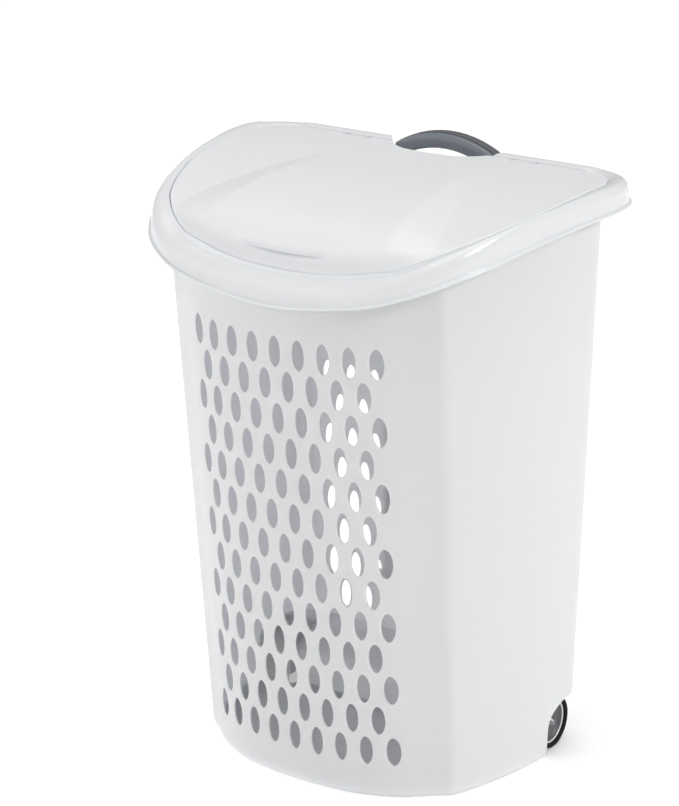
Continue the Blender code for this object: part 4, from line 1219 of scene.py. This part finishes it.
def arch_solid(name, sec, mat, leg_z, sharp=40, ends=0.0):
    """Arch of a section given as (y, radial offset from the outer face), with straight legs when leg_z is given."""
    paths = [(y, arch_path(min(r, 15.4) if leg_z is not None else r, leg_z is not None)) for y, r in sec]
    m = len(paths[0][1])
    half = []
    for k in range(m):
        half.append([(pth[k][0], y, pth[k][1]) for (y, pth) in paths])
    if leg_z is not None:
        for f in (0.02, 0.3, 0.6, 0.9, 0.997, 1.0):
            half.append([(x, y, lerp(z, leg_z, f)) for x, y, z in half[m - 1]])
    elif ends:
        # rounded ends: shrink the last few sections towards their middle and push them outwards
        base = half[-1]
        cx = sum(p[0] for p in base) / len(base)
        cy = sum(p[1] for p in base) / len(base)
        cz = sum(p[2] for p in base) / len(base)
        a1 = math.radians(30)
        for k in range(1, 6):
            a = math.pi / 2 * k / 5
            sc = max(math.cos(a), 0.05)
            off = ends * math.sin(a)
            half.append([(cx + (x - cx) * sc + off * math.cos(a1), cy + (y - cy) * sc, cz + (z - cz) * sc - off * math.sin(a1)) for x, y, z in base])
    left = [[(-x, y, z) for x, y, z in loop] for loop in reversed(half[1:])]
    return ring_solid(name, left + half, mat, False, sharp)


def round_section(y0, y1, r0, r1, c, n=6):
    """Rounded box in (y, radial)."""
    out = []
    for cy, cr, a0 in ((y0 + c, r0 + c, 180), (y1 - c, r0 + c, 270), (y1 - c, r1 - c, 0), (y0 + c, r1 - c, 90)):
        for i in range(n + 1):
            a = math.radians(a0 + 90 * i / n)
            out.append((cy + c * math.cos(a), cr + c * math.sin(a)))
    return out


# frame: band with a shallow groove along its outer face
sec = []
for y, r in round_section(LEG_Y0, LEG_Y1, 0.0, LEG_W, 2.6):
    sec.append((y, r))
groove = [(LEG_Y0 + 3.6, 0.0), (LEG_Y0 + 4.0, 0.25), (LEG_Y0 + 4.3, 0.75), (LEG_Y0 + 4.9, 0.95), (LEG_Y0 + 5.5, 0.75), (LEG_Y0 + 5.8, 0.25), (LEG_Y0 + 6.2, 0.0)]
out = []
for k, (y, r) in enumerate(sec):
    out.append((y, r))
    if k == 6:
        out += groove
frame_ob = arch_solid("handle_frame_fine", out, DARK_GREY, LEG_BOTTOM)
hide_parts("handle_frame")
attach(frame_ob, "handle")

# grip: fat rounded bar in front of the frame
g0, g1 = 147.8, LEG_Y0 - GAP
gs = []
gn = 36
for i in range(gn):
    a = 2 * math.pi * i / gn
    ca, sa = math.cos(a), math.sin(a)
    # squarer towards the back, rounder at the front
    e = 0.62 if ca < 0 else 0.40
    yy = (g0 + g1) / 2 + (g1 - g0) / 2 * math.copysign(abs(ca)**e, ca)
    rr = 9.25 + 8.25 * math.copysign(abs(sa)**0.72, sa)
    gs.append((yy, rr))
grip = arch_solid("handle_grip_fine", gs, GREY, None, 50, ends=0.0)
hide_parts("handle_grip")
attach(grip, "handle")

stop = extrude("handle_stop_bar_fine", rounded_rect(-LEG_OUT + 1, LEG_Y0 + 1, LEG_OUT - 1, LEG_Y1 + 6, 2.5), 'Z', LEG_BOTTOM - 12, LEG_BOTTOM - GAP, DARK_GREY)
soften(stop, 0.8)
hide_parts("handle_stop_bar")
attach(stop, "handle")


def screw(name, centre, axis, r, h, node, body, s=1):
    """Pan head with a cross recess; the head stands out along +axis ('Y' or '-Z')."""
    prof = [(0.0, r), (h * 0.35, r), (h * 0.62, r * 0.93), (h * 0.85, r * 0.76), (h * 0.97, r * 0.5), (h, r * 0.22), (h, 0.02)]
    lp = []
    for a, rr in prof:
        lp.append([(rr * math.cos(2 * math.pi * k / 28), rr * math.sin(2 * math.pi * k / 28), a) for k in range(28)])
    ob = ring_solid(name, lp, STEEL, False, 50)
    w, l = r * 0.13, r * 0.58
    cross = extrude("x1", [(-l, -w), (l, -w), (l, w), (-l, w)], 'Z', h * 0.45, h + 1)
    cross2 = extrude("x2", [(-w, -l), (w, -l), (w, l), (-w, l)], 'Z', h * 0.451, h + 1.1)
    cut(ob, (cross, 'DIFFERENCE'), (cross2, 'DIFFERENCE'))
    ob.data.shade_smooth()
    ob.data.set_sharp_from_angle(angle=math.radians(45))
    rot = {'Y': Matrix.Rotation(math.radians(-90), 4, 'X'), '-Z': Matrix.Rotation(math.radians(180), 4, 'X')}[axis]
    ob.data.transform(Matrix.Translation(Vector(centre) * MM) @ rot)
    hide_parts(node)
    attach(ob, body)
    return ob


for s, side in ((-1, "left"), (1, "right")):
    screw("stop_screw_head_" + side, (s * LEG_X, 164.0, LEG_BOTTOM - 12 - GAP), '-Z', 3.4, 2.3, "stop_bar_screw_" + side, "handle")


# ------------------------------------------------------------------ guide cover on the back
def cover_outline(g):
    return [(LEG_OUT + 4.2 - g, 152.6), (LEG_OUT + 4.2 - g, 174.0 - g * 0.4), (LEG_OUT - 9 - g * 0.8, Y_BACK - g),
            (-LEG_OUT + 9 + g * 0.8, Y_BACK - g), (-LEG_OUT - 4.2 + g, 174.0 - g * 0.4), (-LEG_OUT - 4.2 + g, 152.6)]


def round_path(pts, r, n=6):
    """Round the inner corners of an open path."""
    out = [pts[0]]
    for i in range(1, len(pts) - 1):
        p, a, b = Vector(pts[i]), Vector(pts[i - 1]), Vector(pts[i + 1])
        u, v = (a - p).normalized(), (b - p).normalized()
        A, B = p + u * r, p + v * r
        for k in range(n + 1):
            t = k / n
            q = A * (1 - t)**2 + p * 2 * t * (1 - t) + B * t * t
            out.append((q.x, q.y))
    out.append(pts[-1])
    return out


co, ci = round_path(cover_outline(0.0), 6.0), round_path(cover_outline(2.6), 4.4)
cover = extrude("guide_cover_fine", co + list(reversed(ci)), 'Z', COVER_Z0, COVER_Z1, WHITE, 30)
lip_o = [(-LEG_OUT - 3, 171.2), (LEG_OUT + 3, 171.2), (LEG_OUT + 3, 173.6), (LEG_OUT - 11, Y_BACK - 1.4), (-LEG_OUT + 11, Y_BACK - 1.4), (-LEG_OUT - 3, 173.6)]
adds = [(extrude("guide_lip", lip_o, 'Z', COVER_Z1 - 14, COVER_Z1 - 0.02), 'UNION')]
tabs = []
for s, side in ((-1, "left"), (1, "right")):
    for z in (COVER_Z0 + 30, COVER_Z1 - 40):
        o = [(s * (LEG_OUT + 2.4), z - 9), (s * (LEG_OUT + 12), z - 9)]
        o += [(s * (LEG_OUT + 12 + 5 * math.sin(math.radians(a))), z - 4 - 5 * math.cos(math.radians(a))) for a in range(15, 91, 15)]
        o += [(s * (LEG_OUT + 12 + 5 * math.cos(math.radians(a))), z + 4 + 5 * math.sin(math.radians(a))) for a in range(0, 91, 15)]
        o += [(s * (LEG_OUT + 2.4), z + 9)]
        tabs.append(extrude("tab", o, 'Y', 152.6, 155.4))
adds.append((joined("tabs", tabs), 'UNION'))
cut(cover, *adds)
soften(cover, 0.7, 50)
even_normals(cover)
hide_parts("handle_guide_cover")
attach(cover, "tub")
for s, side in ((-1, "left"), (1, "right")):
    for z, lev in ((COVER_Z0 + 30, "lower"), (COVER_Z1 - 40, "upper")):
        screw("cover_screw_head_%s_%s" % (side, lev), (s * (LEG_OUT + 10.5), 155.4 + GAP, z), 'Y', 3.6, 1.9, "cover_screw_%s_%s" % (side, lev), "tub")


# ------------------------------------------------------------------ wheels and axle
def turned(name, profile, s, mat, n=96, sharp=40, closed=True):
    loops = []
    for k in range(n):
        a = 2 * math.pi * k / n
        loops.append([(s * x, WHEEL_Y + r * math.cos(a), WHEEL_R + r * math.sin(a)) for x, r in profile])
    return ring_solid(name, loops, mat, True, sharp)


for s, side in ((-1, "left"), (1, "right")):
    x0, x1, R = WHEEL_X0, WHEEL_X1, WHEEL_R
    body = side + "_wheel"
    # tyre: rounded shoulders, two fine circumferential grooves and a thin moulded bead on the outer face
    prof = [(x0 + 1.5, 26.05), (x0 + 0.5, 26.6), (x0, 27.6), (x0, 29.0), (x0 + 0.35, 29.9), (x0 + 1.1, 30.55), (x0 + 2.2, 30.9),
            (x0 + 5.6, R), (x0 + 5.9, R - 0.5), (x0 + 6.3, R - 0.5), (x0 + 6.6, R), (x1 - 6.6, R), (x1 - 6.3, R - 0.5), (x1 - 5.9, R - 0.5), (x1 - 5.6, R),
            (x1 - 2.2, 30.9), (x1 - 1.0, 30.5), (x1 - 0.3, 29.8), (x1, 28.9), (x1, 28.2), (x1 - 0.25, 27.7), (x1 - 0.9, 27.3), (x1 - 1.4, 26.6), (x1 - 2.0, 26.05)]
    tyre = turned("tyre_fine_" + side, prof, s, RUBBER, 120, 30)
    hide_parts("tyre_" + side)
    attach(tyre, body)
    # disc: dished face with a raised hub boss
    prof = [(x0 + 3, 3.35), (x0 + 3, 8.6), (x0 + 3.4, 9.0), (x0 + 7, 10.0), (x0 + 7, 21.5), (x0 + 2.6, 22.6), (x0 + 2.2, 23.0), (x0 + 2.2, 25.7),
            (x1 - 4.0, 25.7), (x1 - 3.5, 25.4), (x1 - 3.3, 24.9), (x1 - 3.5, 24.2), (x1 - 4.3, 23.5), (x1 - 6.6, 22.2), (x1 - 8.0, 20.9), (x1 - 8.6, 19.0), (x1 - 9.1, 15.0), (x1 - 9.35, 12.0),
            (x1 - 9.3, 10.2), (x1 - 8.9, 9.4), (x1 - 7.0, 8.5), (x1 - 6.2, 8.0), (x1 - 6.0, 7.4), (x1 - 6.0, 3.35)]
    hub = turned("wheel_disc_fine_" + side, prof, s, WHEEL_GREY, 96, 45)
    hub.data.materials.append(RING_GREY)
    for p in hub.data.polygons:
        c = p.center / MM
        rr = math.hypot(c.y - WHEEL_Y, c.z - WHEEL_R)
        if rr > 23.4 and s * c.x > x1 - 5.0:
            p.material_index = 1
    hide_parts("wheel_" + side)
    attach(hub, body)
    cap = turned("axle_cap_fine_" + side, [(x1 - 5.6, 3.3), (x1 - 5.6, 6.6), (x1 - 5.3, 7.0), (x1 - 4.8, 7.0), (x1 - 4.3, 6.4), (x1 - 3.6, 5.2), (x1 - 2.4, 4.3), (x1 - 1.3, 3.5), (x1 - 0.6, 2.2), (x1 - 0.6, 0.25), (x1 - 2.2, 0.25), (x1 - 2.2, 3.3)], s, DULL_STEEL, 40, 45)
    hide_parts("axle_cap_" + side)
    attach(cap, "tub")
La = WHEEL_X1 - 2.6
lp = []
for x, r in [(-La, 2.2), (-La + 0.8, 3.0), (-150.6, 3.0), (-150.3, 3.0), (150.3, 3.0), (150.6, 3.0), (La - 0.8, 3.0), (La, 2.2)]:
    lp.append([(x, WHEEL_Y + r * math.cos(2 * math.pi * k / 40), WHEEL_R + r * math.sin(2 * math.pi * k / 40)) for k in range(40)])
axle = ring_solid("axle_fine", lp, STEEL, False, 40)
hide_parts("axle")
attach(axle, "tub")

# ------------------------------------------------------------------ floor, light and camera
m = bpy.data.materials.new("studio_floor")
m.use_nodes = True
nt = m.node_tree
fb = nt.nodes["Principled BSDF"]
fb.inputs["Roughness"].default_value = 0.75
fb.inputs["Specular IOR Level"].default_value = 0.15
tc = nt.nodes.new("ShaderNodeTexCoord")
nz = nt.nodes.new("ShaderNodeTexNoise")
nz.inputs["Scale"].default_value = 3.0
rp = nt.nodes.new("ShaderNodeValToRGB")
rp.color_ramp.elements[0].color = (0.955, 0.955, 0.955, 1)
rp.color_ramp.elements[1].color = (0.975, 0.975, 0.975, 1)
nt.links.new(tc.outputs["Object"], nz.inputs["Vector"])
nt.links.new(nz.outputs["Fac"], rp.inputs["Fac"])
nt.links.new(rp.outputs["Color"], fb.inputs["Base Color"])
fv = [(-30000, -30000, 0), (30000, -30000, 0), (30000, 30000, 0), (-30000, 30000, 0)]
floor = mesh_object("studio_floor", fv, [(0, 1, 2, 3)], m, None, None, orient=False)

scene = bpy.context.scene
world = bpy.data.worlds.new("studio")
scene.world = world
world.use_nodes = True
wn = world.node_tree
bg = wn.nodes["Background"]
bg.inputs["Color"].default_value = (0.985, 0.99, 1.0, 1)


def wmath(op, a, b=None):
    n = wn.nodes.new("ShaderNodeMath")
    n.operation = op
    for k, v in enumerate((a, b)):
        if isinstance(v, (int, float)):
            n.inputs[k].default_value = v
        elif v is not None:
            wn.links.new(v, n.inputs[k])
    return n.outputs["Value"]


# a pale room, brighter towards a soft box on one side; the term for the opposite side is weighted zero
WORLD_BASE, WORLD_LEFT, WORLD_RIGHT = 0.33, 0.74, 0.0
wtc = wn.nodes.new("ShaderNodeTexCoord")
wdot = wn.nodes.new("ShaderNodeVectorMath")
wdot.operation = 'DOT_PRODUCT'
wdot.inputs[1].default_value = (0.8236, 0.5671, 0.0)
wn.links.new(wtc.outputs["Generated"], wdot.inputs[0])
wd_ = wdot.outputs["Value"]
wr = wmath('MULTIPLY', wmath('POWER', wmath('MAXIMUM', wd_, 0.0), 1.5), WORLD_RIGHT)
wl = wmath('MULTIPLY', wmath('POWER', wmath('MAXIMUM', wmath('MULTIPLY', wd_, -1.0), 0.0), 1.5), WORLD_LEFT)
wn.links.new(wmath('ADD', wmath('ADD', wr, wl), WORLD_BASE), bg.inputs["Strength"])


def sun(name, towards, share, angle, shadow=True):
    """Soft distant light; share is the brightness that it gives a white surface facing it."""
    L = bpy.data.lights.new(name, 'SUN')
    L.energy = share * math.pi
    L.angle = math.radians(angle)
    L.use_shadow = shadow
    ob = bpy.data.objects.new(name, L)
    scene.collection.objects.link(ob)
    ob.location = Vector(towards) * 3
    ob.rotation_euler = (-Vector(towards)).to_track_quat('-Z', 'Y').to_euler()
    return ob


side_light = sun("side_soft", (0.86, 0.02, 0.50), 0.50, 16)
sun("top_soft", (0.05, 0.10, 1.0), 0.40, 60)
front_light = sun("front_fill", (-0.60, -0.80, 0.05), 0.19, 60, False)
floor_light = sun("floor_soft", (0.0, 0.0, 1.0), 0.36, 60, False)
# the side light models the hamper only, and a light of its own keeps the floor evenly white
not_floor = bpy.data.collections.new("all_but_floor")
not_floor.objects.link(floor)
not_floor.collection_objects[0].light_linking.link_state = 'EXCLUDE'
side_light.light_linking.receiver_collection = not_floor
front_light.light_linking.receiver_collection = not_floor
only_floor = bpy.data.collections.new("floor_alone")
only_floor.objects.link(floor)
floor_light.light_linking.receiver_collection = only_floor

a, e, f = math.radians(34.55), math.radians(18.84), 2733.06
C = Vector((1.59578, -2.37260, 1.37977))
F = Vector((-math.sin(a) * math.cos(e), math.cos(a) * math.cos(e), -math.sin(e)))
R = Vector((math.cos(a), math.sin(a), 0))
U = R.cross(F)
cam = bpy.data.cameras.new("camera")
co_ = bpy.data.objects.new("camera", cam)
scene.collection.objects.link(co_)
co_.matrix_world = Matrix(((R.x, U.x, -F.x, C.x), (R.y, U.y, -F.y, C.y), (R.z, U.z, -F.z, C.z), (0, 0, 0, 1)))
cam.sensor_fit = 'AUTO'
cam.sensor_width = 36
cam.lens = f * 36 / 806
cam.clip_start, cam.clip_end = 0.05, 100
scene.camera = co_
scene.view_settings.view_transform = 'Standard'
scene.view_settings.look = 'None'
scene.view_settings.exposure = 0.0
scene.view_settings.gamma = 1.0
